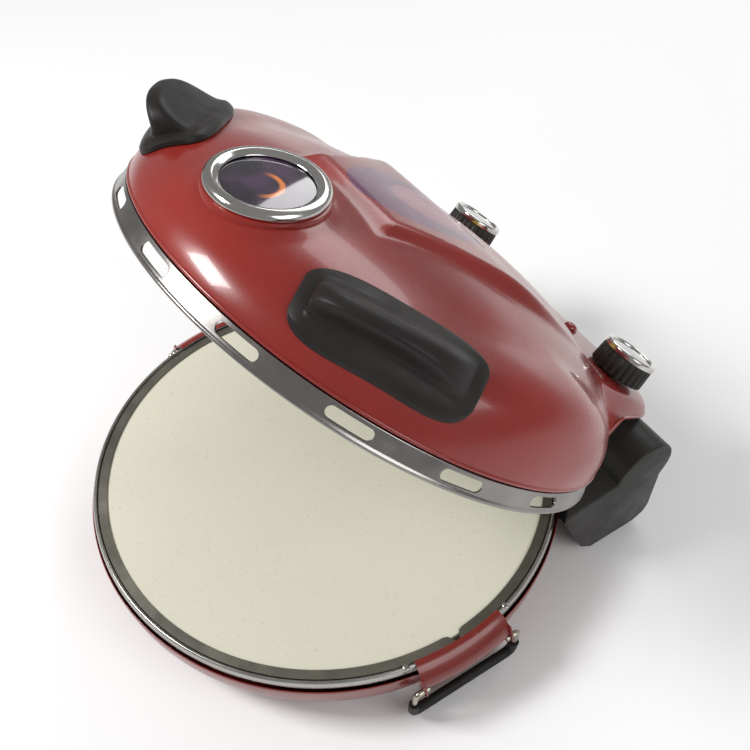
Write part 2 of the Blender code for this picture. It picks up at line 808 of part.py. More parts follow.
def knob_and_lamp_holes():
    holes = [(deck_point(side * KNOB_X, KNOB_Y), SHAFT_RADIUS + 2 * GAP) for side in (-1, 1)]
    holes += [(deck_point(side * LAMP_X, LAMP_Y), LAMP_RADIUS + GAP) for side in (-1, 1)]
    return holes


def lid_ring(parent):
    """Bright slotted band round the lid's mouth with a rolled lower edge."""
    r, top, wall = RING_RADIUS, RING_HEIGHT, RING_WALL
    profile = [
        (r - 1.7 * MM, 0), (r - 0.3 * MM, 0.7 * MM), (r, 2.1 * MM), (r - 0.9 * MM, 3.4 * MM),
        (r - 2.7 * MM, top - 0.4 * MM),
        (r - 12 * MM, top), (r - 12 * MM, top - wall), (r - 3.8 * MM, top - wall - 0.4 * MM),
        (r - 2 * MM, 3.1 * MM),
        (r - 2.2 * MM, 1 * MM),
    ]
    ring = turned("lid_ring", profile, steel(), parent, sides=64)
    for n in range(-SLOTS_EACH_SIDE, SLOTS_EACH_SIDE + 1):
        bm = bmesh.new()
        half, rounding = SLOT_LENGTH / 2, SLOT_HEIGHT / 2
        outline = []
        for end in (-1, 1):
            for k in range(5):
                angle = math.radians(-90 + 45 * k)
                along = half - rounding + rounding * math.cos(angle)
                outline.append((end * along, end * rounding * math.sin(angle)))
        prism(bm, outline, 1, 0.150, 0.190)
        turn = Matrix.Rotation(math.pi + n * SLOT_STEP, 4, "Z")
        bm.transform(turn @ Matrix.Translation((0, 0, top / 2 + 0.9 * MM)))
        boolean(ring, cutter("ring_slot_%d" % n, bm, parent), "DIFFERENCE")
    return ring


def lid_back_panel(parent):
    """Curved plate that closes the lid between the ring and the overhanging deck."""
    outer, inner = DOME_RADIUS - 6 * MM, DOME_RADIUS - 7.6 * MM
    low, high = RING_HEIGHT + LINER_WALL + 2 * GAP, EAVE_HEIGHT - 4 * MM
    reach = math.asin((DECK_HALF_WIDTH - 6 * MM) / outer)
    steps = 20
    rings = []
    for k in range(steps + 1):
        angle = math.pi / 2 - reach + 2 * reach * k / steps
        along = Vector((math.cos(angle), math.sin(angle), 0))
        section = ((inner, low), (outer, low), (outer, high), (inner, high))
        rings.append([along * r + Vector((0, 0, z)) for r, z in section])
    bm = bmesh.new()
    loft(bm, rings)
    return finish("lid_back_panel", bm, red_paint(), parent)


def reflector_profile():
    r, low, wall = RING_RADIUS, RING_HEIGHT + GAP, LINER_WALL
    above = [
        (r - 7 * MM, low), (r - 7 * MM, low + wall), (r - 13.5 * MM, low + wall),
        (r - 18 * MM, low + 13 * MM),
        (r - 34 * MM, low + 25 * MM), (r - 62 * MM, low + 34 * MM),
        (r - 110 * MM, low + 39.5 * MM), (0, low + 41 * MM),
    ]
    below = [
        (0, low + 41 * MM - wall), (r - 110.2 * MM, low + 39.5 * MM - wall),
        (r - 62.4 * MM, low + 34 * MM - wall),
        (r - 34.6 * MM, low + 25 * MM - wall), (r - 18.9 * MM, low + 12.6 * MM), (r - 14 * MM, low),
    ]
    return above + below


def reflector_height(radius):
    """Underside of the reflector at a plan radius."""
    points = [p for p in reflector_profile()[8:]]
    for (r1, z1), (r0, z0) in zip(points, points[1:]):
        if r1 <= radius <= r0:
            return z1 + (z0 - z1) * (radius - r1) / (r0 - r1)
    return points[-1][1]


def heat_reflector(parent):
    shell = turned("heat_reflector", reflector_profile(), steel(), parent, sides=BIG)
    sight = cylinder_cutter(
        "reflector_sight", WINDOW_HOLE - 3 * MM, -50 * MM, 30 * MM, MEDIUM, window_frame(), parent,
    )
    boolean(shell, sight, "DIFFERENCE")
    for side in (-1, 1):
        reach = Matrix.Translation((side * terminal_x(), 0, UPPER_ELEMENT_H)) @ Matrix.Rotation(
            -math.pi / 2, 4, "X",
        )
        hole = cylinder_cutter(
            "reflector_hole_%d" % side, ELEMENT_TUBE + 2 * GAP, 0.130, 0.166, 12, reach, parent,
        )
        boolean(shell, hole, "DIFFERENCE")
    return shell


def upper_heater(parent):
    element("upper_element", UPPER_ELEMENT_RADIUS, UPPER_ELEMENT_H, 0.160, parent)
    low = UPPER_ELEMENT_H + ELEMENT_TUBE + GAP
    for n in range(3):
        angle = math.radians(-30 + 120 * n)
        high = reflector_height(UPPER_ELEMENT_RADIUS + 3 * MM) - GAP
        clip = block(
            "upper_clip_%d" % (n + 1), (-2 * MM, -4 * MM, low), (2 * MM, 4 * MM, high), steel(), parent,
        )
        clip.location = (UPPER_ELEMENT_RADIUS * math.cos(angle), UPPER_ELEMENT_RADIUS * math.sin(angle), 0)
        clip.rotation_euler = (0, 0, angle)


def window_frame():
    """Place and tilt of the round window; its Z axis points out of the dome."""
    height = lid_height(0, WINDOW_Y)
    return Matrix.Translation((0, WINDOW_Y, height)) @ Matrix.Rotation(WINDOW_TILT, 4, "X")


def window(parent):
    frame = window_frame()
    hole, glass = WINDOW_HOLE - GAP, WINDOW_HOLE - 1.6 * MM - GAP
    bezel = [
        (hole - 1.3 * MM, -7 * MM), (hole, -7 * MM), (hole, 2 * MM + GAP), (BEZEL_RADIUS, 2 * MM + GAP),
        (BEZEL_RADIUS, 4.6 * MM), (BEZEL_RADIUS - 1.6 * MM, 6.8 * MM), (BEZEL_RADIUS - 5 * MM, 7.4 * MM),
        (glass - 2 * MM, 5.2 * MM), (glass - 2 * MM, 4.4 * MM), (hole - 1.3 * MM, 4.4 * MM),
    ]
    turned("window_bezel", bezel, chrome(), parent, MEDIUM, frame)
    high = 4.4 * MM - GAP
    low = high - GLASS_THICKNESS
    pane = [(0, low), (glass, low), (glass, high), (0, high)]
    turned("window_glass", pane, material("glass", (0.05, 0.05, 0.07), 0.05), parent, MEDIUM, frame)
    seal = [
        (glass - 3 * MM, low - 4 * MM), (glass, low - 4 * MM), (glass, low - GAP),
        (glass - 3 * MM, low - GAP),
    ]
    turned("window_seal", seal, rubber(), parent, MEDIUM, frame)


def grip_axes(side):
    """Centre of the grip on the dome and its directions: along, across and out of the surface."""
    x, y = GRIP_CENTRE
    step = 8 * MM
    centre = Vector((x, y, lid_height(x, y)))
    slope_x = (lid_height(x + step, y) - lid_height(x - step, y)) / (2 * step)
    slope_y = (lid_height(x, y + step) - lid_height(x, y - step)) / (2 * step)
    out = Vector((-slope_x, -slope_y, 1)).normalized()
    along = Vector((0.82, 0.57, 0.24))
    along = (along - out * along.dot(out)).normalized()
    across = out.cross(along)
    flip = Vector((side, 1, 1))
    return [Vector((a.x * flip.x, a.y, a.z)) for a in (centre, along, across, out)]


def drop_to_dome(point, out):
    """Slide a point along a direction until it lies on the dome."""
    near, far = -0.035, 0.020
    for _ in range(40):
        middle = (near + far) / 2
        spot = point + out * middle
        if spot.z > lid_height(spot.x, spot.y):
            far = middle
        else:
            near = middle
    return point + out * far


def side_grip(name, side, parent):
    """Moulded stadium plate that hugs the dome, with a fin for the fingers standing on it."""
    centre, along, across, out = grip_axes(side)
    lean = (out + Vector((side * -0.02, -0.74, -0.37))).normalized()
    columns, rows = 18, 10
    top, bottom = [], []
    for i in range(columns + 1):
        u = math.sin(math.pi / 2 * (2 * i / columns - 1))
        half = GRIP_WIDTH / 2 * (1 - (abs(u) * 0.985) ** 3.4) ** (1 / 3.4)
        top_row, bottom_row = [], []
        for j in range(rows + 1):
            v = 2 * j / rows - 1
            v = math.copysign(abs(v) ** 0.8, v) if v else 0.0
            flat = centre + along * (u * GRIP_LENGTH / 2) + across * (v * half)
            foot = drop_to_dome(flat, out) + out * (2 * GAP)
            rim = 1 - 0.55 * max(abs(v), abs(u)) ** 10
            length_share = max(1 - abs(u / 0.84) ** 3.0, 0.0) ** 0.55
            width_share = math.exp(-(v * half / (7.5 * MM)) ** 4 * 0.5)
            fin = GRIP_FIN * length_share * width_share
            top_row.append(foot + out * GRIP_PLATE * rim + lean * fin)
            bottom_row.append(foot)
        top.append(top_row)
        bottom.append(bottom_row)
    bm = bmesh.new()
    top_verts = [[bm.verts.new(p) for p in row] for row in top]
    low_verts = [[bm.verts.new(p) for p in row] for row in bottom]
    for grid in (top_verts, low_verts):
        for i in range(columns):
            for j in range(rows):
                bm.faces.new((grid[i][j], grid[i + 1][j], grid[i + 1][j + 1], grid[i][j + 1]))
    border = [(i, 0) for i in range(columns)] + [(columns, j) for j in range(rows)]
    border += [(i, rows) for i in range(columns, 0, -1)] + [(0, j) for j in range(rows, 0, -1)]
    for (i, j), (p, q) in zip(border, border[1:] + border[:1]):
        bm.faces.new((top_verts[i][j], low_verts[i][j], low_verts[p][q], top_verts[p][q]))
    return finish(name, bm, black_plastic(), parent)


def knob_axis(name, side, parent):
    axis = bpy.data.objects.new(name + "_axis", None)
    bpy.context.collection.objects.link(axis)
    axis.parent = parent
    axis.location = deck_point(side * KNOB_X, KNOB_Y)
    return axis


def knob(name, side, parent):
    """Ribbed knob with a bright ring and a raised cap, its shaft and the control under the deck."""
    axis = knob_axis(name, side, parent)
    low, high = 1.6 * MM, KNOB_HEIGHT
    bm = bmesh.new()
    sides = KNOB_RIBS * 2
    sections = [(KNOB_RADIUS + 0.4 * MM, low), (KNOB_RADIUS - 0.4 * MM, high - 4.5 * MM)]
    rings = []
    for radius, height in sections:
        ring = []
        for k in range(sides):
            ribbed = radius if k % 2 == 0 else radius - 0.9 * MM
            angle = 2 * math.pi * k / sides
            ring.append((ribbed * math.cos(angle), ribbed * math.sin(angle), height))
        rings.append(ring)
    loft(bm, rings)
    body = finish(name, bm, black_plastic(), axis)
    bore = cylinder_cutter(name + "_bore", SHAFT_RADIUS + GAP, -5 * MM, high - 8 * MM, 12, parent=axis)
    boolean(body, bore, "DIFFERENCE")
    seat = high - 4.5 * MM + GAP
    ring_profile = [
        (KNOB_RADIUS - 4 * MM, seat), (KNOB_RADIUS, seat), (KNOB_RADIUS, high - 1 * MM),
        (KNOB_RADIUS - 1 * MM, high),
        (KNOB_RADIUS - 3 * MM, high), (KNOB_RADIUS - 4 * MM, high - 1 * MM),
    ]
    turned(name + "_ring", ring_profile, chrome(), axis, MEDIUM)
    cap = KNOB_RADIUS - 4 * MM - GAP
    cap_profile = [
        (0, seat), (cap, seat), (cap, high - 1.5 * MM), (cap - 1 * MM, high - 1.2 * MM),
        (0, high - 0.8 * MM),
    ]
    turned(name + "_cap", cap_profile, black_plastic(), axis, MEDIUM)
    shaft_low = -DOME_WALL - 3 * MM
    shaft = [
        (0, shaft_low), (SHAFT_RADIUS, shaft_low), (SHAFT_RADIUS, high - 8.3 * MM), (0, high - 8.3 * MM),
    ]
    turned(name + "_shaft", shaft, steel(), axis, 12)


def control_box(name, side, parent, size):
    """Timer or thermostat under the deck, behind its knob's shaft."""
    top = deck_point(side * KNOB_X, KNOB_Y)
    high = top.z - DOME_WALL - 3.7 * MM
    centre_y = KNOB_Y - 5 * MM
    low = high - size[2]
    x = side * KNOB_X
    return block(
        name, (x - size[0] / 2, centre_y - size[1] / 2, low),
        (x + size[0] / 2, centre_y + size[1] / 2, high),
        steel(), parent, bevel=1 * MM,
    )


def lamp(name, side, parent, colour):
    """Indicator lens pushed through the deck from inside."""
    place = deck_point(side * LAMP_X, LAMP_Y)
    profile = [
        (0, -6 * MM), (LAMP_RADIUS, -6 * MM), (LAMP_RADIUS, 2 * MM), (LAMP_RADIUS * 0.75, 3.8 * MM),
        (LAMP_RADIUS * 0.35, 4.6 * MM), (0, 4.8 * MM),
    ]
    turned(name, profile, material(name, colour, 0.2), parent, 12, Matrix.Translation(place))


def hinge_arm(name, side, parent):
    """Lid side of the hinge: a knuckle on the pin, a web and a flange under the rear deck."""
    inner, outer = side * KNUCKLE_INNER, side * (NOTCH_HALF_WIDTH - 2 * MM)
    axis_h = HINGE_Z - LID_BOTTOM
    behind, ahead, thick = 14 * MM, 9 * MM, 3 * MM
    deck_h = lining_height(outer, HINGE_Y + behind) + 0.9 * MM
    web = 5 * MM
    outline = []
    for k in range(15):
        angle = math.radians(150 + 240 * k / 14)
        outline.append(
            (HINGE_Y + KNUCKLE_RADIUS * math.cos(angle), axis_h + KNUCKLE_RADIUS * math.sin(angle)),
        )
    outline += [
        (HINGE_Y + web, axis_h + 13 * MM), (HINGE_Y + web, deck_h - thick),
        (HINGE_Y + behind, deck_h - thick),
        (HINGE_Y + behind, deck_h), (HINGE_Y - ahead, deck_h), (HINGE_Y - ahead, deck_h - thick),
        (HINGE_Y - web, deck_h - thick), (HINGE_Y - web, axis_h + 13 * MM),
    ]
    bm = bmesh.new()
    prism(bm, outline, 0, min(inner, outer), max(inner, outer))
    arm = finish(name, bm, black_plastic(), parent)
    turn = Matrix.Translation((0, HINGE_Y, axis_h)) @ Matrix.Rotation(math.pi / 2, 4, "Y")
    bore = cylinder_cutter(name + "_bore", PIN_RADIUS + GAP, -0.2, 0.2, SMALL, turn, parent)
    boolean(arm, bore, "DIFFERENCE")
    return arm


def hang_on_ground():
    """Put the ground FOOT_HEIGHT below the origin, with everything that stands on it."""
    pieces = [item for item in bpy.data.objects if item.parent is None]
    ground = bpy.data.objects.new("ground", None)
    bpy.context.collection.objects.link(ground)
    ground.location = (0, 0, -FOOT_HEIGHT)
    for item in pieces:
        item.parent = ground


def build():
    clear_scene()
    base_pan()
    bottom_cover()
    feet()
    insulation_pad()
    base_liner()
    pizza_stone()
    stone_strip()
    lower_heater()
    handles()
    hinge_housing()
    cord_gland()
    hinge_pins()
    lid = lid_empty()
    lid_dome(lid)
    lid_ring(lid)
    lid_back_panel(lid)
    heat_reflector(lid)
    upper_heater(lid)
    window(lid)
    side_grip("grip_right", 1, lid)
    side_grip("grip_left", -1, lid)
    hinge_arm("lid_hinge_arm_right", 1, lid)
    hinge_arm("lid_hinge_arm_left", -1, lid)
    knob("timer_knob", 1, lid)
    knob("thermostat_knob", -1, lid)
    control_box("timer_body", 1, lid, (0.036, 0.032, 0.010))
    control_box("thermostat_body", -1, lid, (0.030, 0.032, 0.010))
    lamp("lamp_amber", -1, lid, (0.6, 0.25, 0.02))
    lamp("lamp_red", 1, lid, (0.6, 0.02, 0.01))
    hang_on_ground()


build()
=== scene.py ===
"""Looks of the clamshell countertop pizza oven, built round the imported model.

Every visible node is drawn again with fine curves, then moved onto its body in place of the coarse solid.
Metres, +Z up. As in the model, heights are measured from the ground and the lid is drawn closed.
"""

import json
import math

import bmesh
import bpy
from mathutils import Matrix, Vector

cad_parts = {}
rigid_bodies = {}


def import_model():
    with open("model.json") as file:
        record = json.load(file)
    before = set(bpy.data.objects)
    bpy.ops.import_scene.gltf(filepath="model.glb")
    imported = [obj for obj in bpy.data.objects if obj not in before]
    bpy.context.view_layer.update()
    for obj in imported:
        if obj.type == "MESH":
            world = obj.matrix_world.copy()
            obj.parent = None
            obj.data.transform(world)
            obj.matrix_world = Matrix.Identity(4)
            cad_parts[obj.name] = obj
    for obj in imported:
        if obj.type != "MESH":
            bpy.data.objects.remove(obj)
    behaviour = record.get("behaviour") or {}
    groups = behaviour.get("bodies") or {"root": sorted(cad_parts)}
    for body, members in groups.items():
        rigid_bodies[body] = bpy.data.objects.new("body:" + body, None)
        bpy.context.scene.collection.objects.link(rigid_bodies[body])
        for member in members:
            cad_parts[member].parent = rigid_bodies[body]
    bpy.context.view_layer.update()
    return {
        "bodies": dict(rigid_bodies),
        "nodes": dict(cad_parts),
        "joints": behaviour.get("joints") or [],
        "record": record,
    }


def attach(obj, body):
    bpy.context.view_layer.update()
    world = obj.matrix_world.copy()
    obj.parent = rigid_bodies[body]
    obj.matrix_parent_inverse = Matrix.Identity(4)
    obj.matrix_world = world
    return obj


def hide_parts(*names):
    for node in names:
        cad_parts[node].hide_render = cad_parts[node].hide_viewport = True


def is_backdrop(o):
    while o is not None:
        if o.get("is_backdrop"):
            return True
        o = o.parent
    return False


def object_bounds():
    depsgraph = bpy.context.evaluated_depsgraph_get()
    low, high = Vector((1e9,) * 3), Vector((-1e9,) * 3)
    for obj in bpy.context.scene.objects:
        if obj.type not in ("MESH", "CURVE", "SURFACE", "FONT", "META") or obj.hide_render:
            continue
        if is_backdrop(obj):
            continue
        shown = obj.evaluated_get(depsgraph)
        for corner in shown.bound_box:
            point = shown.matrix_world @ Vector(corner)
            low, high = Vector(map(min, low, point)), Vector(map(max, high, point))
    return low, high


MM = 0.001

# ---- sizes, the same as the model's -------------------------------------------------------------
PAN_RADIUS = 0.170          # outside of the red base pan
PAN_HEIGHT = 0.050          # top of the pan's rim above the ground
PAN_WALL = 0.0012
FOOT_HEIGHT = 0.010
FOOT_RADIUS = 0.011
FOOT_CIRCLE = 0.112         # radius of the circle the feet stand on
OPENING_RADIUS = 0.098      # hole in the pan floor, inside the feet
STONE_RADIUS = 0.160
STONE_THICKNESS = 0.009
STONE_TOP = 0.0563
LINER_WALL = 0.0008
RIM_TOP = 0.0588            # top of the liner's rolled rim
STRIP_WIDTH = 0.0066        # spring strip that holds the stone down
STRIP_GAP = 0.004
ELEMENT_TUBE = 0.00325      # radius of both heating elements
TERMINAL_X = 0.009          # the elements' ends stand this far either side of the middle
LOWER_ELEMENT_Z = 0.030
UPPER_ELEMENT_RADIUS = 0.095
UPPER_ELEMENT_H = 0.030     # above the lid ring's lower edge

LID_OPEN = math.radians(42.3)
HINGE_Y = 0.1764
HINGE_Z = 0.0716
LID_BOTTOM = 0.060          # lower edge of the closed lid's steel ring
RING_RADIUS = 0.1719
RING_HEIGHT = 0.014
RING_WALL = 0.001
SLOT_LENGTH = 0.027
SLOT_HEIGHT = 0.0068
SLOT_STEP = math.radians(22.5)
SLOTS_EACH_SIDE = 6
DOME_RADIUS = 0.169
DOME_TOP = 0.080            # above the ring's lower edge
DOME_WALL = 0.0022
DOME_POWER = 2.2            # squareness of the dome's profile
CONSOLE_RISE = 0.004        # console above the dome's crown
DECK_HEIGHT = 0.053         # flat rear deck that carries the knobs
DECK_HALF_WIDTH = 0.118
DECK_BACK = 0.202
EAVE_HEIGHT = 0.038         # lower edge of the overhanging rear deck

WINDOW_Y = -0.128
WINDOW_TILT = math.radians(27)
WINDOW_HOLE = 0.029
BEZEL_RADIUS = 0.0335
GLASS_THICKNESS = 0.003

GRIP_CENTRE = (0.106, -0.1114)
GRIP_LENGTH = 0.100
GRIP_WIDTH = 0.046
GRIP_PLATE = 0.005
GRIP_FIN = 0.021
GRIP_ALONG = (0.82, 0.57, 0.24)
GRIP_LEAN = (-0.02, -0.74, -0.37)     # of the right grip's fin; the left one mirrors it

KNOB_X = 0.0843
KNOB_Y = 0.152
KNOB_RADIUS = 0.0195
KNOB_HEIGHT = 0.020
KNOB_RIBS = 24
SHAFT_RADIUS = 0.003
LAMP_X = 0.032
LAMP_Y = 0.160
LAMP_RADIUS = 0.0055

HOUSING_HALF_WIDTH = 0.138
NOTCH_HALF_WIDTH = 0.078
NOTCH_FLOOR = 0.056
BARREL_RADIUS = 0.0243
PIN_RADIUS = 0.004
PIN_LENGTH = 0.034
GLAND_X = 0.100
GLAND_Z = 0.030
GLAND_RADIUS = 0.0085

BRACKET_ANGLE = math.radians(11.4)
BRACKET_WALL = 0.0012
BAIL_WIRE = 0.002
BAIL_HALF_WIDTH = 0.0405
BAIL_DROP = 0.033
BAIL_BEND = 0.007
BAIL_X = 0.1752
BAIL_Z = 0.0425
SLEEVE_WALL = 0.0013

GAP = 0.0003                # running and seating gap between touching pieces

LINER_FLOOR = FOOT_HEIGHT + 7 * MM
LINER_INSIDE = PAN_RADIUS - 5.8 * MM              # inner radius of the liner's upper wall
STONE_LEDGE = STONE_TOP - STONE_THICKNESS - GAP   # step in the liner that the stone lies on
DOME_SEAT = RING_HEIGHT + GAP + 0.1 * MM          # the dome's lower edge, on the ring

BIG = 192                   # sides of the large round pieces
MEDIUM = 96
SMALL = 40
PLAN_SHIFT = 1.0            # keeps the drawn faces' UV places away from zero

CAMERA_TURN = math.radians(62.8)      # from the front towards the oven's right
CAMERA_RISE = math.radians(54.3)
CAMERA_ROLL = math.radians(-5.8)
CAMERA_FAR = 0.700
CAMERA_TARGET = (0, 0, 0.050)
LENS = 46.43
LENS_SHIFT = (0.0696, 0.1196)

DRAWN = {}                  # node name: the fine piece that stands for it
GUIDES = []                 # cutters and empties, removed once the pieces are settled


# ---- modelling helpers ---------------------------------------------------------------------------
def finish(name, bm, parent=None):
    """Turn a bmesh into one smooth object with its faces pointing out."""
    bmesh.ops.recalc_face_normals(bm, faces=bm.faces)
    mesh = bpy.data.meshes.new(name + "_fine")
    bm.to_mesh(mesh)
    bm.free()
    mesh.shade_smooth()
    made = bpy.data.objects.new(name + "_fine", mesh)
    bpy.context.scene.collection.objects.link(made)
    if parent is not None:
        made.parent = parent
    DRAWN[name] = made
    return made


def empty(name, parent=None, location=(0, 0, 0), rotation=(0, 0, 0)):
    made = bpy.data.objects.new(name, None)
    bpy.context.scene.collection.objects.link(made)
    made.parent = parent
    made.location = location
    made.rotation_euler = rotation
    GUIDES.append(made)
    return made


def cutter(name, bm, parent=None):
    """A guide that only serves Boolean modifiers."""
    made = finish(name, bm, parent)
    del DRAWN[name]
    GUIDES.append(made)
    return made


def eased(profile, reach, steps=4):
    """Round each corner of a closed (radius, height) outline, by no more than its edges allow."""
    out = []
    count = len(profile)
    for i, corner in enumerate(profile):
        here = Vector(corner)
        before, after = Vector(profile[i - 1]), Vector(profile[(i + 1) % count])
        if here.x < 1e-7:
            out.append(tuple(here))
            continue
        back, ahead = before - here, after - here
        first = here + back.normalized() * min(reach, back.length * 0.45)
        last = here + ahead.normalized() * min(reach, ahead.length * 0.45)
        for k in range(steps + 1):
            t = k / steps
            out.append(tuple(first * (1 - t) ** 2 + here * 2 * t * (1 - t) + last * t ** 2))
    return out


def circle(radius, height, sides):
    """Points of a level circle about the Z axis."""
    turns = [2 * math.pi * k / sides for k in range(sides)]
    return [(radius * math.cos(a), radius * math.sin(a), height) for a in turns]


def new_face(bm, verts):
    """Add a face, with a repeated corner left out; two corners alone make none."""
    corners = list(dict.fromkeys(verts))
    if len(corners) > 2:
        bm.faces.new(corners)


def bridge(bm, first, second):
    """Join two closed loops of as many vertices with a band of faces."""
    for i in range(len(first)):
        j = (i + 1) % len(first)
        new_face(bm, (first[i], first[j], second[j], second[i]))


def turned(name, profile, parent=None, sides=BIG, frame=Matrix.Identity(4), ease=0.0004):
    """Turn a closed outline of (radius, height) points about the frame's Z axis.

    The UV map holds each point's place across that axis, for brushed and printed materials.
    """
    bm = bmesh.new()
    plan = bm.loops.layers.uv.new("plan")
    columns = []
    for radius, height in eased(profile, ease):
        if radius < 1e-7:
            columns.append([bm.verts.new((0, 0, height))] * sides)
        else:
            columns.append([bm.verts.new(p) for p in circle(radius, height, sides)])
    for lower, upper in zip(columns, columns[1:] + columns[:1]):
        bridge(bm, lower, upper)
    mark_plan(bm, plan)
    bm.transform(frame)
    return finish(name, bm, parent)


def mark_plan(bm, plan):
    """Store x and y on every face, shifted so that faces cut later, left at zero, lie far from any print."""
    for face in bm.faces:
        for loop in face.loops:
            loop[plan].uv = (loop.vert.co.x + PLAN_SHIFT, loop.vert.co.y + PLAN_SHIFT)


def loft(bm, rings):
    """Join equal loops of points with quads and cap the two ends."""
    loops = [[bm.verts.new(p) for p in ring] for ring in rings]
    for first, second in zip(loops, loops[1:]):
        bridge(bm, first, second)
    bm.faces.new(loops[0])
    bm.faces.new(loops[-1])


def prism(bm, outline, direction, start, end):
    """Extrude a flat outline along axis 0, 1 or 2; outline points are the other two axes, in order."""
    rings = []
    for place in (start, end):
        ring = []
        for a, b in outline:
            point = [a, b]
            point.insert(direction, place)
            ring.append(point)
        rings.append(ring)
    loft(bm, rings)


def smooth_path(points, bend, steps=12):
    """Replace each inner corner of a path by an arc of about the given radius."""
    out = [Vector(points[0])]
    for before, corner, after in zip(points, points[1:], points[2:]):
        corner = Vector(corner)
        back = (Vector(before) - corner).normalized()
        ahead = (Vector(after) - corner).normalized()
        for k in range(steps + 1):
            t = k / steps
            out.append(corner + back * bend * (1 - t) ** 2 + ahead * bend * t ** 2)
    out.append(Vector(points[-1]))
    return out


def path_frames(points):
    """Directions across a path, carried along it without twist."""
    count = len(points)
    tangents = []
    for i in range(count):
        a = points[max(i - 1, 0)]
        b = points[min(i + 1, count - 1)]
        tangents.append((b - a).normalized())
    side = tangents[0].orthogonal().normalized()
    frames = []
    for point, tangent in zip(points, tangents):
        side = (side - tangent * side.dot(tangent)).normalized()
        frames.append((point, side, tangent.cross(side)))
    return frames


def path_rings(points, radius, sides):
    rings = []
    for point, side, up in path_frames(points):
        turns = [2 * math.pi * k / sides for k in range(sides)]
        rings.append([point + radius * (math.cos(a) * side + math.sin(a) * up) for a in turns])
    return rings


def rod(name, points, radius, parent=None, sides=20):
    bm = bmesh.new()
    loft(bm, path_rings(points, radius, sides))
    return finish(name, bm, parent)


def hose(name, points, outer, inner, parent=None, sides=24):
    """A hollow tube along a path, open at both ends."""
    bm = bmesh.new()
    outside, inside = [
        [[bm.verts.new(p) for p in ring] for ring in path_rings(points, radius, sides)]
        for radius in (outer, inner)
    ]
    for loops in (outside, inside):
        for first, second in zip(loops, loops[1:]):
            bridge(bm, first, second)
    for end in (0, -1):
        bridge(bm, outside[end], inside[end])
    return finish(name, bm, parent)


def boolean(target, tool, operation):
    change = target.modifiers.new(operation.lower(), "BOOLEAN")
    change.operation = operation
    change.object = tool
    change.solver = "EXACT"


def cylinder_cutter(name, radius, low, high, sides=SMALL, frame=Matrix.Identity(4), parent=None):
    bm = bmesh.new()
    loft(bm, [circle(radius, height, sides) for height in (low, high)])
    bm.transform(frame)
    return cutter(name, bm, parent)


def facing_back(x, z):
    """Frame at (x, 0, z) whose Z axis points to the back."""
    return Matrix.Translation((x, 0, z)) @ Matrix.Rotation(-math.pi / 2, 4, "X")


def box_cutter(name, low, high, parent=None):
    bm = bmesh.new()
    outline = [(low[0], low[1]), (high[0], low[1]), (high[0], high[1]), (low[0], high[1])]
    prism(bm, outline, 2, low[2], high[2])
    return cutter(name, bm, parent)


def soften(made, width, segments=3):
    edge = made.modifiers.new("edges", "BEVEL")
    edge.width = width
    edge.segments = segments
    edge.limit_method = "ANGLE"
    edge.angle_limit = math.radians(40)
    return made


def ramp(value, start, end):
    """0 before start, 1 after end, smooth in between."""
    t = min(max((value - start) / (end - start), 0.0), 1.0)
    return t * t * (3 - 2 * t)


# ---- the base ------------------------------------------------------------------------------------
def base_pan():
    r, top, low, wall = PAN_RADIUS, PAN_HEIGHT, FOOT_HEIGHT, PAN_WALL
    outer = [
        (OPENING_RADIUS, low), (r - 20 * MM, low + 0.5 * MM), (r - 11 * MM, low + 5 * MM),
        (r - 5 * MM, low + 14 * MM), (r - 1.5 * MM, top - 16 * MM), (r - 0.5 * MM, top - 8 * MM),
        (r, top - 1 * MM),
        (r - 0.3 * MM, top),
    ]
    inner = [
        (r - wall, top - 0.2 * MM), (r - wall - 0.5 * MM, top - 8 * MM),
        (r - wall - 1.5 * MM, top - 15.6 * MM),
        (r - wall - 4.9 * MM, low + 14.6 * MM), (r - wall - 10.5 * MM, low + 6 * MM),
        (r - 20.4 * MM, low + 0.5 * MM + wall), (OPENING_RADIUS, low + wall),
    ]
    return turned("base_pan", outer + inner, ease=3 * MM)


def feet():
    profile = [
        (0, 0), (FOOT_RADIUS - 1.5 * MM, 0), (FOOT_RADIUS, 1.5 * MM), (FOOT_RADIUS, FOOT_HEIGHT - 3 * MM),
        (FOOT_RADIUS - 2.5 * MM, FOOT_HEIGHT - GAP), (0, FOOT_HEIGHT - GAP),
    ]
    for n in range(4):
        angle = math.radians(45 + 90 * n)
        place = Matrix.Translation((FOOT_CIRCLE * math.cos(angle), FOOT_CIRCLE * math.sin(angle), 0))
        turned("foot_%d" % (n + 1), profile, sides=SMALL, frame=place)


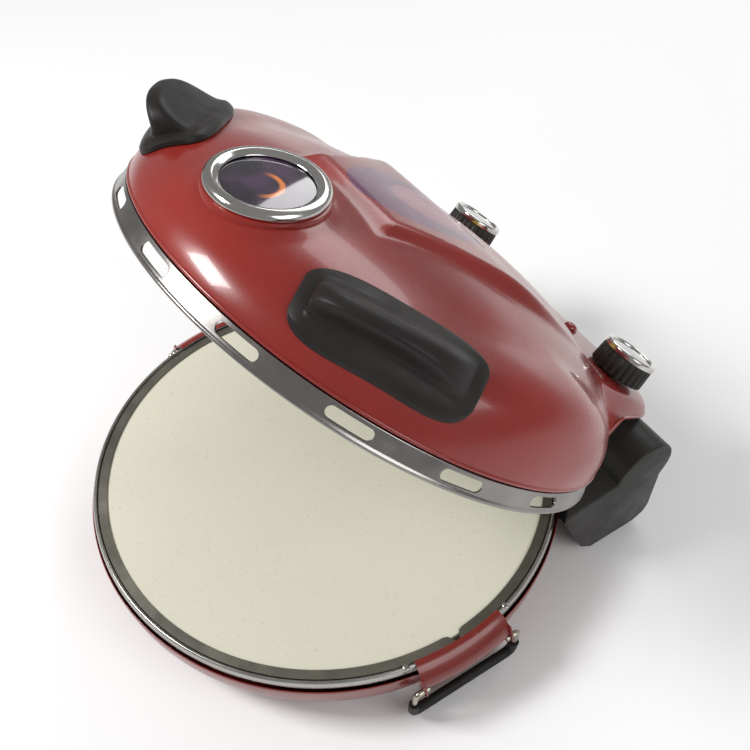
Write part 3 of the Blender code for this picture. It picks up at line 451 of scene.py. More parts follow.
def base_liner():
    """Steel tray that holds the lower element, the stone and the rolled bright rim."""
    wall, floor, ledge = LINER_WALL, LINER_FLOOR, STONE_LEDGE
    side = LINER_INSIDE
    well = STONE_RADIUS - 11 * MM
    skirt = PAN_HEIGHT + 1.5 * MM
    inside = [
        (0, floor), (well - 5 * MM, floor), (well, floor + 5 * MM), (well + 0.5 * MM, ledge - 0.2 * MM),
        (side, ledge), (side, RIM_TOP - 2.4 * MM), (side + 0.7 * MM, RIM_TOP - 0.5 * MM),
        (side + 2 * MM, RIM_TOP),
        (side + 3.2 * MM, RIM_TOP - 1.2 * MM), (side + 3.7 * MM, RIM_TOP - 4 * MM),
        (side + 3.7 * MM, skirt),
    ]
    outside = [
        (side + 2.9 * MM, skirt), (side + 2.9 * MM, RIM_TOP - 4.2 * MM),
        (side + 2.4 * MM, RIM_TOP - 1.7 * MM),
        (side + 1.9 * MM, RIM_TOP - 0.9 * MM), (side + 1.3 * MM, RIM_TOP - 1.2 * MM),
        (side + wall, RIM_TOP - 3 * MM), (side + wall, ledge - wall),
        (well + 0.5 * MM + wall, ledge - 1.1 * MM),
        (well + wall, floor + 4.7 * MM), (well - 4.6 * MM, floor - wall), (0, floor - wall),
    ]
    liner = turned("base_liner", inside + outside, ease=1.2 * MM)
    for side_x in (-1, 1):
        reach = facing_back(side_x * TERMINAL_X, LOWER_ELEMENT_Z)
        hole = cylinder_cutter(
            "liner_hole_%d" % side_x, ELEMENT_TUBE + 2 * GAP, well - 15 * MM, well + 8 * MM, SMALL, reach,
        )
        boolean(liner, hole, "DIFFERENCE")
    return liner


def pizza_stone():
    low, high, chamfer = STONE_TOP - STONE_THICKNESS, STONE_TOP, 0.8 * MM
    edge = STONE_RADIUS
    profile = [
        (0, low), (edge - chamfer, low), (edge, low + chamfer), (edge, high - chamfer),
        (edge - chamfer, high),
        (0, high),
    ]
    return turned("pizza_stone", profile, ease=0.6 * MM)


def stone_strip():
    """Split spring strip over the stone's edge; its rounded ends nearly meet beside a bracket."""
    low = STONE_TOP + GAP
    high = low + 1.0 * MM
    outer = LINER_INSIDE - GAP
    inner = outer - STRIP_WIDTH
    start = STRIP_GAP / 2 / outer
    steps = 360
    tip = STRIP_WIDTH / outer
    bm = bmesh.new()
    rings = []
    for k in range(steps + 1):
        share = k / steps
        angle = start + (2 * math.pi - 2 * start) * share
        near_end = min(angle - start, 2 * math.pi - start - angle) / tip
        shrink = 1 - math.sqrt(1 - (1 - min(near_end, 1.0)) ** 2)
        inside = inner + 0.75 * STRIP_WIDTH * shrink
        along = Vector((math.cos(angle), math.sin(angle), 0))
        edge = 0.25 * MM
        section = (
            (inside, low), (outer, low), (outer, high - edge), (outer - edge, high), (inside + edge, high),
            (inside, high - edge),
        )
        rings.append([along * r + Vector((0, 0, z)) for r, z in section])
    loft(bm, rings)
    return finish("stone_strip", bm)


def element(name, radius, height, reach, parent=None):
    """Ring-shaped tubular heater whose two ends turn back through the rear wall."""
    opening = math.asin((TERMINAL_X + 9 * MM) / radius)
    first = math.pi / 2 - opening
    turns = [first - (2 * math.pi - 2 * opening) * k / 120 for k in range(121)]
    ring = [Vector((radius * math.cos(a), radius * math.sin(a), height)) for a in turns]
    start = [Vector((TERMINAL_X, reach, height)), Vector((TERMINAL_X, radius + 9 * MM, height))]
    end = [Vector((-TERMINAL_X, radius + 9 * MM, height)), Vector((-TERMINAL_X, reach, height))]
    return rod(name, start + ring + end, ELEMENT_TUBE, parent)


# ---- side brackets and wire handles --------------------------------------------------------------
def bracket_profile():
    """Section of the strap: over the rim, then down outside the pan; (radius, height), top side first."""
    over = RIM_TOP + GAP
    r = PAN_RADIUS
    top = [
        (r - 6 * MM, over + 0.9 * MM), (r - 2 * MM, over + 0.6 * MM), (r + 2.6 * MM, over - 2.9 * MM),
        (r + 7.2 * MM, over - 8.4 * MM), (r + 8.6 * MM, over - 14.4 * MM),
    ]
    under = [
        (r + 7.4 * MM, over - 14.4 * MM), (r + 6.2 * MM, over - 9 * MM), (r + 1.9 * MM, over - 3.7 * MM),
        (r - 2.3 * MM, over - 0.2 * MM), (r - 6 * MM, over),
    ]
    return top + under


def side_bracket(name, turn):
    bm = bmesh.new()
    steps = 32
    rings = []
    section = eased(bracket_profile(), 4 * MM)
    for k in range(steps + 1):
        angle = -BRACKET_ANGLE + 2 * BRACKET_ANGLE * k / steps
        rings.append([(r * math.cos(angle), r * math.sin(angle), z) for r, z in section])
    loft(bm, rings)
    bm.transform(Matrix.Rotation(turn, 4, "Z"))
    strap = finish(name, bm)
    over = RIM_TOP + GAP
    for side in (-1, 1):
        tab = bmesh.new()
        place = side * (PAN_RADIUS + 6 * MM) * math.sin(BRACKET_ANGLE)
        low, high = (place - BRACKET_WALL, place) if side > 0 else (place, place + BRACKET_WALL)
        outline = [
            (PAN_RADIUS + 0.8 * MM, over - 9 * MM), (PAN_RADIUS + 3 * MM, over - 5 * MM),
            (PAN_RADIUS + 6.4 * MM, over - 8.9 * MM),
            (PAN_RADIUS + 8 * MM, over - 14.4 * MM), (BAIL_X + 3.6 * MM, BAIL_Z - 2 * MM),
            (BAIL_X + 1.5 * MM, BAIL_Z - 4.2 * MM), (BAIL_X - 2 * MM, BAIL_Z - 4 * MM),
            (PAN_RADIUS + 0.8 * MM, BAIL_Z),
        ]
        prism(tab, outline, 1, low, high)
        tab.transform(Matrix.Rotation(turn, 4, "Z"))
        boolean(strap, cutter("%s_tab_%d" % (name, side), tab), "UNION")
    pivot = Matrix.Rotation(turn, 4, "Z") @ Matrix.Translation((BAIL_X, 0, BAIL_Z))
    reach = pivot @ Matrix.Rotation(math.pi / 2, 4, "X")
    hole = cylinder_cutter(name + "_hole", BAIL_WIRE + GAP, -50 * MM, 50 * MM, 12, reach)
    boolean(strap, hole, "DIFFERENCE")
    return strap


def bail_path():
    """Right half to left half of the wire, as seen from its pivot line, hanging down."""
    w, drop = BAIL_HALF_WIDTH, BAIL_DROP
    inner = (PAN_RADIUS + 6 * MM) * math.sin(BRACKET_ANGLE) - 4 * MM
    return [
        (0, -inner, 0), (0, -w, 0), (-3 * MM, -w, -drop), (-3 * MM, w, -drop), (0, w, 0), (0, inner, 0),
    ]


def wire_handle(side_name, turn):
    place = (BAIL_X * math.cos(turn), BAIL_X * math.sin(turn), BAIL_Z)
    pivot = empty("bail_axis_" + side_name, None, place, (0, 0, turn))
    corners = bail_path()
    points = [Vector(corners[0])]
    for n, bend in ((1, 3 * MM), (2, BAIL_BEND), (3, BAIL_BEND), (4, 3 * MM)):
        points += smooth_path(corners[n - 1:n + 2], bend)[1:-1]
    points.append(Vector(corners[-1]))
    rod("bail_" + side_name, points, BAIL_WIRE, pivot)
    grip_top = -BAIL_DROP * 0.52
    lean = 3 * MM * 0.52
    w = BAIL_HALF_WIDTH
    sleeve = [(-lean, -w, grip_top), corners[2], corners[3], (-lean, w, grip_top)]
    points = smooth_path(sleeve[:3], BAIL_BEND)[:-1] + smooth_path(sleeve[1:], BAIL_BEND)[1:]
    bore = BAIL_WIRE + GAP
    hose("bail_sleeve_" + side_name, points, bore + SLEEVE_WALL, bore, pivot)


def rivet(name, angle):
    """Dome-headed rivet standing on the liner's rim beside a bracket."""
    head, low = 2.6 * MM, RIM_TOP + GAP
    profile = [
        (0, low), (head, low), (head * 0.85, low + 0.8 * MM), (head * 0.4, low + 1.2 * MM),
        (0, low + 1.3 * MM),
    ]
    radius = LINER_INSIDE + 2 * MM
    place = Matrix.Translation((radius * math.cos(angle), radius * math.sin(angle), 0))
    turned(name, profile, sides=12, frame=place)


def handles():
    number = 1
    for side_name, turn in (("right", 0.0), ("left", math.pi)):
        side_bracket("side_bracket_" + side_name, turn)
        wire_handle(side_name, turn)
        for offset in (-1, 1):
            rivet("bracket_rivet_%d" % number, turn + offset * (BRACKET_ANGLE + math.radians(2.2)))
            number += 1


# ---- hinge housing on the base -------------------------------------------------------------------
def housing_profile():
    """Side outline (y, z): a block behind the pan whose top is a barrel about the hinge line."""
    points = [
        (HINGE_Y - 34 * MM, 3 * MM), (HINGE_Y + 7 * MM, 3 * MM), (HINGE_Y + 16 * MM, 8 * MM),
        (HINGE_Y + 19 * MM, 16 * MM), (HINGE_Y + 19 * MM, HINGE_Z - 17 * MM),
    ]
    for k in range(66):
        angle = math.radians(-20 + 3 * k)
        points.append(
            (HINGE_Y + BARREL_RADIUS * math.cos(angle), HINGE_Z + BARREL_RADIUS * math.sin(angle)),
        )
    points += [(HINGE_Y - 70 * MM, HINGE_Z - 2 * MM), (HINGE_Y - 44 * MM, 12 * MM)]
    return points


def hinge_housing():
    bm = bmesh.new()
    prism(bm, housing_profile(), 0, -HOUSING_HALF_WIDTH, HOUSING_HALF_WIDTH)
    housing = finish("hinge_housing", bm)
    soften(housing, 2 * MM)
    pan = cylinder_cutter("housing_pan_cut", PAN_RADIUS + GAP, -10 * MM, PAN_HEIGHT + 2 * MM, 96)
    lid = cylinder_cutter("housing_lid_cut", RING_RADIUS + 3 * MM, PAN_HEIGHT + 1 * MM, 150 * MM, 96)
    notch = box_cutter(
        "housing_notch", (-NOTCH_HALF_WIDTH, HINGE_Y - 90 * MM, NOTCH_FLOOR),
        (NOTCH_HALF_WIDTH, HINGE_Y + 60 * MM, 0.150),
    )
    turn = Matrix.Translation((0, HINGE_Y, HINGE_Z)) @ Matrix.Rotation(math.pi / 2, 4, "Y")
    reach = NOTCH_HALF_WIDTH + PIN_LENGTH / 2 + GAP
    bore = cylinder_cutter("housing_bore", PIN_RADIUS + GAP, -reach, reach, SMALL, turn)
    port = cylinder_cutter(
        "housing_port", GLAND_RADIUS - 2 * MM + GAP, HINGE_Y, HINGE_Y + 40 * MM, SMALL,
        facing_back(GLAND_X, GLAND_Z),
    )
    for tool in (pan, lid, notch, bore, port):
        boolean(housing, tool, "DIFFERENCE")
    return housing


def cord_gland():
    """Moulded inlet bush in the housing's back, where the mains lead would enter."""
    face = HINGE_Y + 19 * MM
    radius, bore = GLAND_RADIUS, 3.6 * MM
    stem = radius - 2 * MM
    profile = [
        (bore, face - 9 * MM), (stem, face - 9 * MM), (stem, face + GAP), (radius, face + GAP),
        (radius, face + 2 * MM), (radius - 2 * MM, face + 6 * MM), (bore, face + 6 * MM),
    ]
    turned("cord_gland", profile, sides=SMALL, frame=facing_back(GLAND_X, GLAND_Z))


# ---- the lid, drawn closed and hung on its hinge -------------------------------------------------
def dome_edge(angle):
    """Plan radius of the dome's edge: a circle that flares into the rear deck's rounded rectangle."""
    c, s = abs(math.cos(angle)), math.sin(angle)
    if s <= 0:
        return DOME_RADIUS
    deck = ((c / DECK_HALF_WIDTH) ** 7 + (s / DECK_BACK) ** 7) ** (-1 / 7)
    return (DOME_RADIUS ** 22 + deck ** 22) ** (1 / 22)


def dome_skirt(angle):
    """Height of the dome's lower edge: on the ring, but lifted under the overhanging rear deck."""
    low = DOME_SEAT
    return low + (EAVE_HEIGHT - low) * ramp(dome_edge(angle), DOME_RADIUS + 1 * MM, DOME_RADIUS + 7 * MM)


def dome_round(radius):
    """Height of the plain round dome at a plan radius."""
    share = min(radius / DOME_RADIUS, 1.0)
    return DOME_SEAT + (DOME_TOP - DOME_SEAT) * (1 - share ** DOME_POWER) ** (1 / DOME_POWER)


def console_half_width(y):
    return 0.030 + (DECK_HALF_WIDTH - 0.002 - 0.030) * ramp(y, -0.150, 0.165)


def console_height(x, y):
    """Raised spine from behind the window to the rear deck."""
    along = dome_round(abs(y) * 0.93) + CONSOLE_RISE
    if y > 0:
        drop = ramp(y, 0.0, 0.130)
        along = (DOME_TOP + CONSOLE_RISE) * (1 - drop) + DECK_HEIGHT * drop
    crown = 1.5 * MM * (x / 0.1) ** 2
    flank = ramp(abs(x), console_half_width(y) - 9 * MM, console_half_width(y) + 9 * MM)
    front = 1 - ramp(y, -0.098, -0.070)
    return along - crown - (CONSOLE_RISE + 12 * MM) * max(flank, front)


def lid_height(x, y):
    """Outer surface of the dome above the ring's lower edge."""
    radius = math.hypot(x, y)
    angle = math.atan2(y, x)
    edge, low = dome_edge(angle), dome_skirt(angle)
    share = min(radius / edge, 1.0)
    plain = max(dome_round(radius), low)
    raised = low + max(console_height(x, y) - low, 0.0) * (1 - share ** 14) ** 0.5
    mix = 1.6 * MM
    top = max(plain, raised)
    fillet = mix * math.exp(-abs(plain - raised) / mix) * 0.7 * (1 - share ** 8)
    return min(top + fillet, DOME_TOP + 2 * CONSOLE_RISE)


def lining_height(x, y):
    """Inner surface of the dome, under the lowest outer point nearby so that steep flanks keep a wall."""
    reach = 5 * MM
    around = [(0, 0), (reach, 0), (-reach, 0), (0, reach), (0, -reach)]
    lowest = min(lid_height(x + dx, y + dy) for dx, dy in around)
    return max(lowest - DOME_WALL, dome_skirt(math.atan2(y, x)))


def window_fillet(x, y):
    """The dome rises a little in a soft ring round the window's collar."""
    across = math.hypot(x, (y - WINDOW_Y) / math.cos(WINDOW_TILT))
    return 1.6 * MM * (1 - ramp(across, BEZEL_RADIUS + 1 * MM, BEZEL_RADIUS + 9 * MM))


def dome_loops(bm, sides, count, wall):
    """Rings of vertices from the crown out to the edge, on the outer or the inner surface."""
    loops = []
    for n in range(count + 1):
        share = math.sin(math.pi / 2 * n / count) ** 0.92
        loop = []
        for k in range(sides):
            angle = 2 * math.pi * k / sides
            edge = dome_edge(angle)
            x, y = share * edge * math.cos(angle), share * edge * math.sin(angle)
            height = lid_height(x, y)
            if wall > 0:
                height += (lining_height(x, y) - height) * (1 - share ** 10)
            else:
                height += window_fillet(x, y)
            shrink = (edge - wall) / edge
            if n == 0 and k > 0:
                loop.append(loop[0])
            else:
                loop.append(bm.verts.new((x * shrink, y * shrink, height)))
        loops.append(loop)
    return loops


def lid_dome(parent):
    sides = 288
    bm = bmesh.new()
    plan = bm.loops.layers.uv.new("plan")
    surfaces = [dome_loops(bm, sides, 84, 0.0), dome_loops(bm, sides, 16, DOME_WALL)]
    for loops in surfaces:
        for first, second in zip(loops, loops[1:]):
            for i in range(sides):
                j = (i + 1) % sides
                new_face(bm, (first[i], second[i], second[j], first[j]))
    for i in range(sides):
        j = (i + 1) % sides
        outer, inner = surfaces[0][-1], surfaces[1][-1]
        bm.faces.new((outer[i], inner[i], inner[j], outer[j]))
    mark_plan(bm, plan)
    dome = finish("lid_dome", bm, parent)
    collar_frame = window_frame()
    collar = bmesh.new()
    profile = (
        (BEZEL_RADIUS + 2.5 * MM, -13 * MM), (BEZEL_RADIUS + 1.2 * MM, 1 * MM),
        (BEZEL_RADIUS + 0.9 * MM, 1.6 * MM), (BEZEL_RADIUS + 0.2 * MM, 2 * MM),
    )
    loft(collar, [circle(radius, height, MEDIUM) for radius, height in profile])
    collar.transform(collar_frame)
    hole = cylinder_cutter("window_hole", WINDOW_HOLE, -40 * MM, 30 * MM, MEDIUM, collar_frame, parent)
    boolean(dome, cutter("window_collar", collar, parent), "UNION")
    boolean(dome, hole, "DIFFERENCE")
    for place, radius in knob_and_lamp_holes():
        drill = cylinder_cutter(
            "deck_hole", radius, -10 * MM, 10 * MM, SMALL, Matrix.Translation(place), parent,
        )
        boolean(dome, drill, "DIFFERENCE")
    return dome


def dome_lip(parent):
    """The sheet's rolled lower edge, a bead that runs right round the dome."""
    sides, around = 360, 14
    bead = 1.25 * MM
    bm = bmesh.new()
    loops = []
    for k in range(sides):
        angle = 2 * math.pi * k / sides
        out = Vector((math.cos(angle), math.sin(angle), 0))
        centre = out * (dome_edge(angle) - 0.5 * MM) + Vector((0, 0, dome_skirt(angle) + bead))
        turns = [2 * math.pi * m / around for m in range(around)]
        loops.append([
            bm.verts.new(centre + bead * (math.cos(t) * out + Vector((0, 0, math.sin(t))))) for t in turns
        ])
    for first, second in zip(loops, loops[1:] + loops[:1]):
        bridge(bm, first, second)
    return finish("dome_lip", bm, parent)


def deck_point(x, y):
    return Vector((x, y, lid_height(x, y)))


def knob_and_lamp_holes():
    holes = [(deck_point(side * KNOB_X, KNOB_Y), SHAFT_RADIUS + 2 * GAP) for side in (-1, 1)]
    holes += [(deck_point(side * LAMP_X, LAMP_Y), LAMP_RADIUS + GAP) for side in (-1, 1)]
    return holes


def lid_ring(parent):
    """Bright slotted band round the lid's mouth with a rolled lower edge."""
    r, top, wall = RING_RADIUS, RING_HEIGHT, RING_WALL
    profile = [
        (r - 1.7 * MM, 0), (r - 0.3 * MM, 0.7 * MM), (r, 2.1 * MM), (r - 0.9 * MM, 3.4 * MM),
        (r - 2.7 * MM, top - 0.4 * MM),
        (r - 12 * MM, top), (r - 12 * MM, top - wall), (r - 3.8 * MM, top - wall - 0.4 * MM),
        (r - 2 * MM, 3.1 * MM),
        (r - 2.2 * MM, 1 * MM),
    ]
    ring = turned("lid_ring", profile, parent, sides=256, ease=0.5 * MM)
    half, rounding = SLOT_LENGTH / 2, SLOT_HEIGHT / 2
    outline = []
    for end in (-1, 1):
        for k in range(17):
            angle = math.radians(-90 + 11.25 * k)
            along = half - rounding + rounding * math.cos(angle)
            outline.append((end * along, end * rounding * math.sin(angle)))
    slots = bmesh.new()
    for n in range(-SLOTS_EACH_SIDE, SLOTS_EACH_SIDE + 1):
        bm = bmesh.new()
        prism(bm, outline, 1, 0.150, 0.190)
        turn = Matrix.Rotation(math.pi + n * SLOT_STEP, 4, "Z")
        bm.transform(turn @ Matrix.Translation((0, 0, top / 2 + 0.9 * MM)))
        slot = bpy.data.meshes.new("slot")
        bm.to_mesh(slot)
        bm.free()
        slots.from_mesh(slot)
        bpy.data.meshes.remove(slot)
    boolean(ring, cutter("ring_slots", slots, parent), "DIFFERENCE")
    return ring


def lid_back_panel(parent):
    """Curved plate that closes the lid between the ring and the overhanging deck."""
    outer, inner = DOME_RADIUS - 6 * MM, DOME_RADIUS - 7.6 * MM
    low, high = RING_HEIGHT + LINER_WALL + 2 * GAP, EAVE_HEIGHT - 4 * MM
    reach = math.asin((DECK_HALF_WIDTH - 6 * MM) / outer)
    steps = 90
    rings = []
    for k in range(steps + 1):
        angle = math.pi / 2 - reach + 2 * reach * k / steps
        along = Vector((math.cos(angle), math.sin(angle), 0))
        section = ((inner, low), (outer, low), (outer, high), (inner, high))
        rings.append([along * r + Vector((0, 0, z)) for r, z in section])
    bm = bmesh.new()
    loft(bm, rings)
    return finish("lid_back_panel", bm, parent)


def reflector_profile():
    r, low, wall = RING_RADIUS, RING_HEIGHT + GAP, LINER_WALL
    above = [
        (r - 7 * MM, low), (r - 7 * MM, low + wall), (r - 13.5 * MM, low + wall),
        (r - 18 * MM, low + 13 * MM),
        (r - 34 * MM, low + 25 * MM), (r - 62 * MM, low + 34 * MM),
        (r - 110 * MM, low + 39.5 * MM), (0, low + 41 * MM),
    ]
    below = [
        (0, low + 41 * MM - wall), (r - 110.2 * MM, low + 39.5 * MM - wall),
        (r - 62.4 * MM, low + 34 * MM - wall),
        (r - 34.6 * MM, low + 25 * MM - wall), (r - 18.9 * MM, low + 12.6 * MM), (r - 14 * MM, low),
    ]
    return above + below


def heat_reflector(parent):
    shell = turned("heat_reflector", reflector_profile(), parent, ease=6 * MM)
    sight = cylinder_cutter(
        "reflector_sight", WINDOW_HOLE - 3 * MM, -50 * MM, 30 * MM, MEDIUM, window_frame(), parent,
    )
    boolean(shell, sight, "DIFFERENCE")
    for side in (-1, 1):
        reach = facing_back(side * TERMINAL_X, UPPER_ELEMENT_H)
        hole = cylinder_cutter(
            "reflector_hole_%d" % side, ELEMENT_TUBE + 2 * GAP, 0.130, 0.166, SMALL, reach, parent,
        )
        boolean(shell, hole, "DIFFERENCE")
    return shell


def window_frame():
    """Place and tilt of the round window; its Z axis points out of the dome."""
    height = lid_height(0, WINDOW_Y)
    return Matrix.Translation((0, WINDOW_Y, height)) @ Matrix.Rotation(WINDOW_TILT, 4, "X")


def window(parent):
    frame = window_frame()
    hole, glass = WINDOW_HOLE - GAP, WINDOW_HOLE - 1.6 * MM - GAP
    bezel = [
        (hole - 1.3 * MM, -7 * MM), (hole, -7 * MM), (hole, 2 * MM + GAP), (BEZEL_RADIUS, 2 * MM + GAP),
        (BEZEL_RADIUS, 4.6 * MM), (BEZEL_RADIUS - 1.6 * MM, 6.8 * MM), (BEZEL_RADIUS - 5 * MM, 7.4 * MM),
        (glass - 2 * MM, 5.2 * MM), (glass - 2 * MM, 4.4 * MM), (hole - 1.3 * MM, 4.4 * MM),
    ]
    turned("window_bezel", bezel, parent, BIG, frame, 1.2 * MM)
    high = 4.4 * MM - GAP
    low = high - GLASS_THICKNESS
    pane = [(0, low), (glass, low), (glass, high), (0, high)]
    turned("window_glass", pane, parent, MEDIUM, frame)
    seal = [
        (glass - 3 * MM, low - 4 * MM), (glass, low - 4 * MM), (glass, low - GAP),
        (glass - 3 * MM, low - GAP),
    ]
    turned("window_seal", seal, parent, MEDIUM, frame)


def grip_axes(side):
    """Centre of the grip on the dome and its directions: along, across and out of the surface."""
    x, y = GRIP_CENTRE
    step = 8 * MM
    centre = Vector((x, y, lid_height(x, y)))
    slope_x = (lid_height(x + step, y) - lid_height(x - step, y)) / (2 * step)
    slope_y = (lid_height(x, y + step) - lid_height(x, y - step)) / (2 * step)
    out = Vector((-slope_x, -slope_y, 1)).normalized()
    along = Vector(GRIP_ALONG)
    along = (along - out * along.dot(out)).normalized()
    across = out.cross(along)
    flip = Vector((side, 1, 1))
    return [Vector((a.x * flip.x, a.y, a.z)) for a in (centre, along, across, out)]


def drop_to_dome(point, out):
    """Slide a point along a direction until it lies on the dome."""
    near, far = -0.035, 0.020
    for _ in range(40):
        middle = (near + far) / 2
        spot = point + out * middle
        if spot.z > lid_height(spot.x, spot.y):
            far = middle
        else:
            near = middle
    return point + out * far


def side_grip(name, side, parent):
    """Moulded stadium plate that hugs the dome, with a fin for the fingers standing on it."""
    centre, along, across, out = grip_axes(side)
    lean = (out + Vector((side * GRIP_LEAN[0], *GRIP_LEAN[1:]))).normalized()
    columns, rows = 96, 56
    top, bottom = [], []
    for i in range(columns + 1):
        u = math.sin(math.pi / 2 * (2 * i / columns - 1))
        half = GRIP_WIDTH / 2 * (1 - (abs(u) * 0.985) ** 3.4) ** (1 / 3.4)
        top_row, bottom_row = [], []
        for j in range(rows + 1):
            v = 2 * j / rows - 1
            v = math.copysign(abs(v) ** 0.8, v) if v else 0.0
            flat = centre + along * (u * GRIP_LENGTH / 2) + across * (v * half)
            foot = drop_to_dome(flat, out) + out * (2 * GAP)
            rim = 1 - 0.55 * max(abs(v), abs(u)) ** 10
            length_share = max(1 - abs(u / 0.84) ** 3.0, 0.0) ** 0.55
            width_share = math.exp(-(v * half / (7.5 * MM)) ** 4 * 0.5)
            fin = GRIP_FIN * length_share * width_share
            top_row.append(foot + out * GRIP_PLATE * rim + lean * fin)
            bottom_row.append(foot)
        top.append(top_row)
        bottom.append(bottom_row)
    bm = bmesh.new()
    top_verts = [[bm.verts.new(p) for p in row] for row in top]
    low_verts = [[bm.verts.new(p) for p in row] for row in bottom]
    for grid in (top_verts, low_verts):
        for i in range(columns):
            for j in range(rows):
                bm.faces.new((grid[i][j], grid[i + 1][j], grid[i + 1][j + 1], grid[i][j + 1]))
    border = [(i, 0) for i in range(columns)] + [(columns, j) for j in range(rows)]
    border += [(i, rows) for i in range(columns, 0, -1)] + [(0, j) for j in range(rows, 0, -1)]
    for (i, j), (p, q) in zip(border, border[1:] + border[:1]):
        bm.faces.new((top_verts[i][j], low_verts[i][j], low_verts[p][q], top_verts[p][q]))
    return finish(name, bm, parent)


def knob_axis(name, side, parent):
    return empty(name + "_axis", parent, deck_point(side * KNOB_X, KNOB_Y))


def knob(name, side, parent):
    """Ribbed knob with a bright ring and a raised, printed cap."""
    axis = knob_axis(name, side, parent)
    low, high = 1.6 * MM, KNOB_HEIGHT
    bm = bmesh.new()
    each = 8
    sides = KNOB_RIBS * each
    crown = high - 4.5 * MM
    sections = [
        (KNOB_RADIUS - 0.6 * MM, low), (KNOB_RADIUS + 0.2 * MM, low + 0.5 * MM),
        (KNOB_RADIUS + 0.4 * MM, low + 1.2 * MM), (KNOB_RADIUS - 0.3 * MM, crown - 1 * MM),
        (KNOB_RADIUS - 0.8 * MM, crown),
    ]
    rings = []
    for radius, height in sections:
        ring = []
        for k in range(sides):
            groove = 0.9 * MM * (0.5 - 0.5 * math.cos(2 * math.pi * k / each)) ** 2
            angle = 2 * math.pi * k / sides
            ring.append(((radius - groove) * math.cos(angle), (radius - groove) * math.sin(angle), height))
        rings.append(ring)
    loft(bm, rings)
    body = finish(name, bm, axis)
    bore = cylinder_cutter(name + "_bore", SHAFT_RADIUS + GAP, -5 * MM, high - 8 * MM, SMALL, parent=axis)
    boolean(body, bore, "DIFFERENCE")
    seat = crown + GAP
    ring_profile = [
        (KNOB_RADIUS - 4 * MM, seat), (KNOB_RADIUS, seat), (KNOB_RADIUS, high - 1 * MM),
        (KNOB_RADIUS - 1 * MM, high), (KNOB_RADIUS - 3 * MM, high), (KNOB_RADIUS - 4 * MM, high - 1 * MM),
    ]
    turned(name + "_ring", ring_profile, axis, BIG, ease=0.5 * MM)
    cap = KNOB_RADIUS - 4 * MM - GAP
    cap_profile = [
        (0, seat), (cap, seat), (cap, high - 1.5 * MM), (cap - 1 * MM, high - 1.2 * MM),
        (0, high - 0.8 * MM),
    ]
    turned(name + "_cap", cap_profile, axis, MEDIUM)


def lamp(name, side, parent):
    """Indicator lens pushed through the deck from inside."""
    place = deck_point(side * LAMP_X, LAMP_Y)
    profile = [
        (0, -6 * MM), (LAMP_RADIUS, -6 * MM), (LAMP_RADIUS, 2 * MM), (LAMP_RADIUS * 0.75, 3.8 * MM),
        (LAMP_RADIUS * 0.35, 4.6 * MM), (0, 4.8 * MM),
    ]
    turned(name, profile, parent, SMALL, Matrix.Translation(place), 0.8 * MM)


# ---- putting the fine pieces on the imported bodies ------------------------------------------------
def hang_on_ground():
    """Put the ground FOOT_HEIGHT below the origin, with everything that stands on it."""
    pieces = [item for item in [*DRAWN.values(), *GUIDES] if item.parent is None]
    ground = empty("ground", None, (0, 0, -FOOT_HEIGHT))
    for item in pieces:
        item.parent = ground


def draw_oven():
    base_pan()
    feet()
    base_liner()
    pizza_stone()
    stone_strip()
    handles()
    hinge_housing()
    cord_gland()
    hinge = empty("lid_axis", None, (0, HINGE_Y, HINGE_Z), (-LID_OPEN, 0, 0))
    lid = empty("lid_closed_frame", hinge, (0, -HINGE_Y, LID_BOTTOM - HINGE_Z))
    lid_dome(lid)
    dome_lip(lid)
    lid_ring(lid)
    lid_back_panel(lid)
    heat_reflector(lid)
    element("upper_element", UPPER_ELEMENT_RADIUS, UPPER_ELEMENT_H, 0.160, lid)
    window(lid)
    side_grip("grip_right", 1, lid)
    side_grip("grip_left", -1, lid)
    knob("timer_knob", 1, lid)
    knob("thermostat_knob", -1, lid)
    lamp("lamp_amber", -1, lid)
    lamp("lamp_red", 1, lid)
    hang_on_ground()


def settle(record):
    """Apply every modifier and transform, drop the guides, and put each piece on its body.

    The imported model's own plain materials carry the slots' names, so they go first.
    """
    for plain in list(bpy.data.materials):
        bpy.data.materials.remove(plain)
    bpy.context.view_layer.update()
    depsgraph = bpy.context.evaluated_depsgraph_get()
    body_of = {node: body for body, nodes in record["behaviour"]["bodies"].items() for node in nodes}
    slot_of = {row["node"]: row["material_slot"] for row in record["subparts"]}
    pieces = {}
    for name, drawn in DRAWN.items():
        shape = drawn.evaluated_get(depsgraph)
        mesh = bpy.data.meshes.new_from_object(shape, preserve_all_data_layers=True, depsgraph=depsgraph)
        mesh.transform(drawn.matrix_world)
        mesh.name = name + "_shape"
        pieces[name] = mesh
    for item in [*DRAWN.values(), *GUIDES]:
        bpy.data.objects.remove(item)
    for name, mesh in pieces.items():
        mesh.materials.clear()
        mesh.shade_smooth()
        mesh.set_sharp_from_angle(angle=math.radians(32))
        piece = bpy.data.objects.new(name + "_shown", mesh)
        bpy.context.scene.collection.objects.link(piece)
        node = "lid_dome" if name == "dome_lip" else name
        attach(piece, body_of[node])
        if name in body_of:
            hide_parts(name)
        mesh.materials.append(look(slot_of[node]))
    for name, node in frame["nodes"].items():
        node.data.materials.clear()
        node.data.materials.append(look(slot_of[name]))
        node.data.shade_smooth()
        node.data.set_sharp_from_angle(angle=math.radians(32))


# ---- materials -----------------------------------------------------------------------------------
def shader(name, colour, roughness, metallic=0.0, coat=0.0):
    """A Principled material; returns its node tree and its shader node."""
    made = bpy.data.materials.new(name)
    made.use_nodes = True
    made.diffuse_color = (*colour, 1.0)
    tree = made.node_tree
    main = tree.nodes["Principled BSDF"]
    main.inputs["Base Color"].default_value = (*colour, 1.0)
    main.inputs["Roughness"].default_value = roughness
    main.inputs["Metallic"].default_value = metallic
    main.inputs["Coat Weight"].default_value = coat
    main.inputs["Coat Roughness"].default_value = 0.06
    return made, tree, main


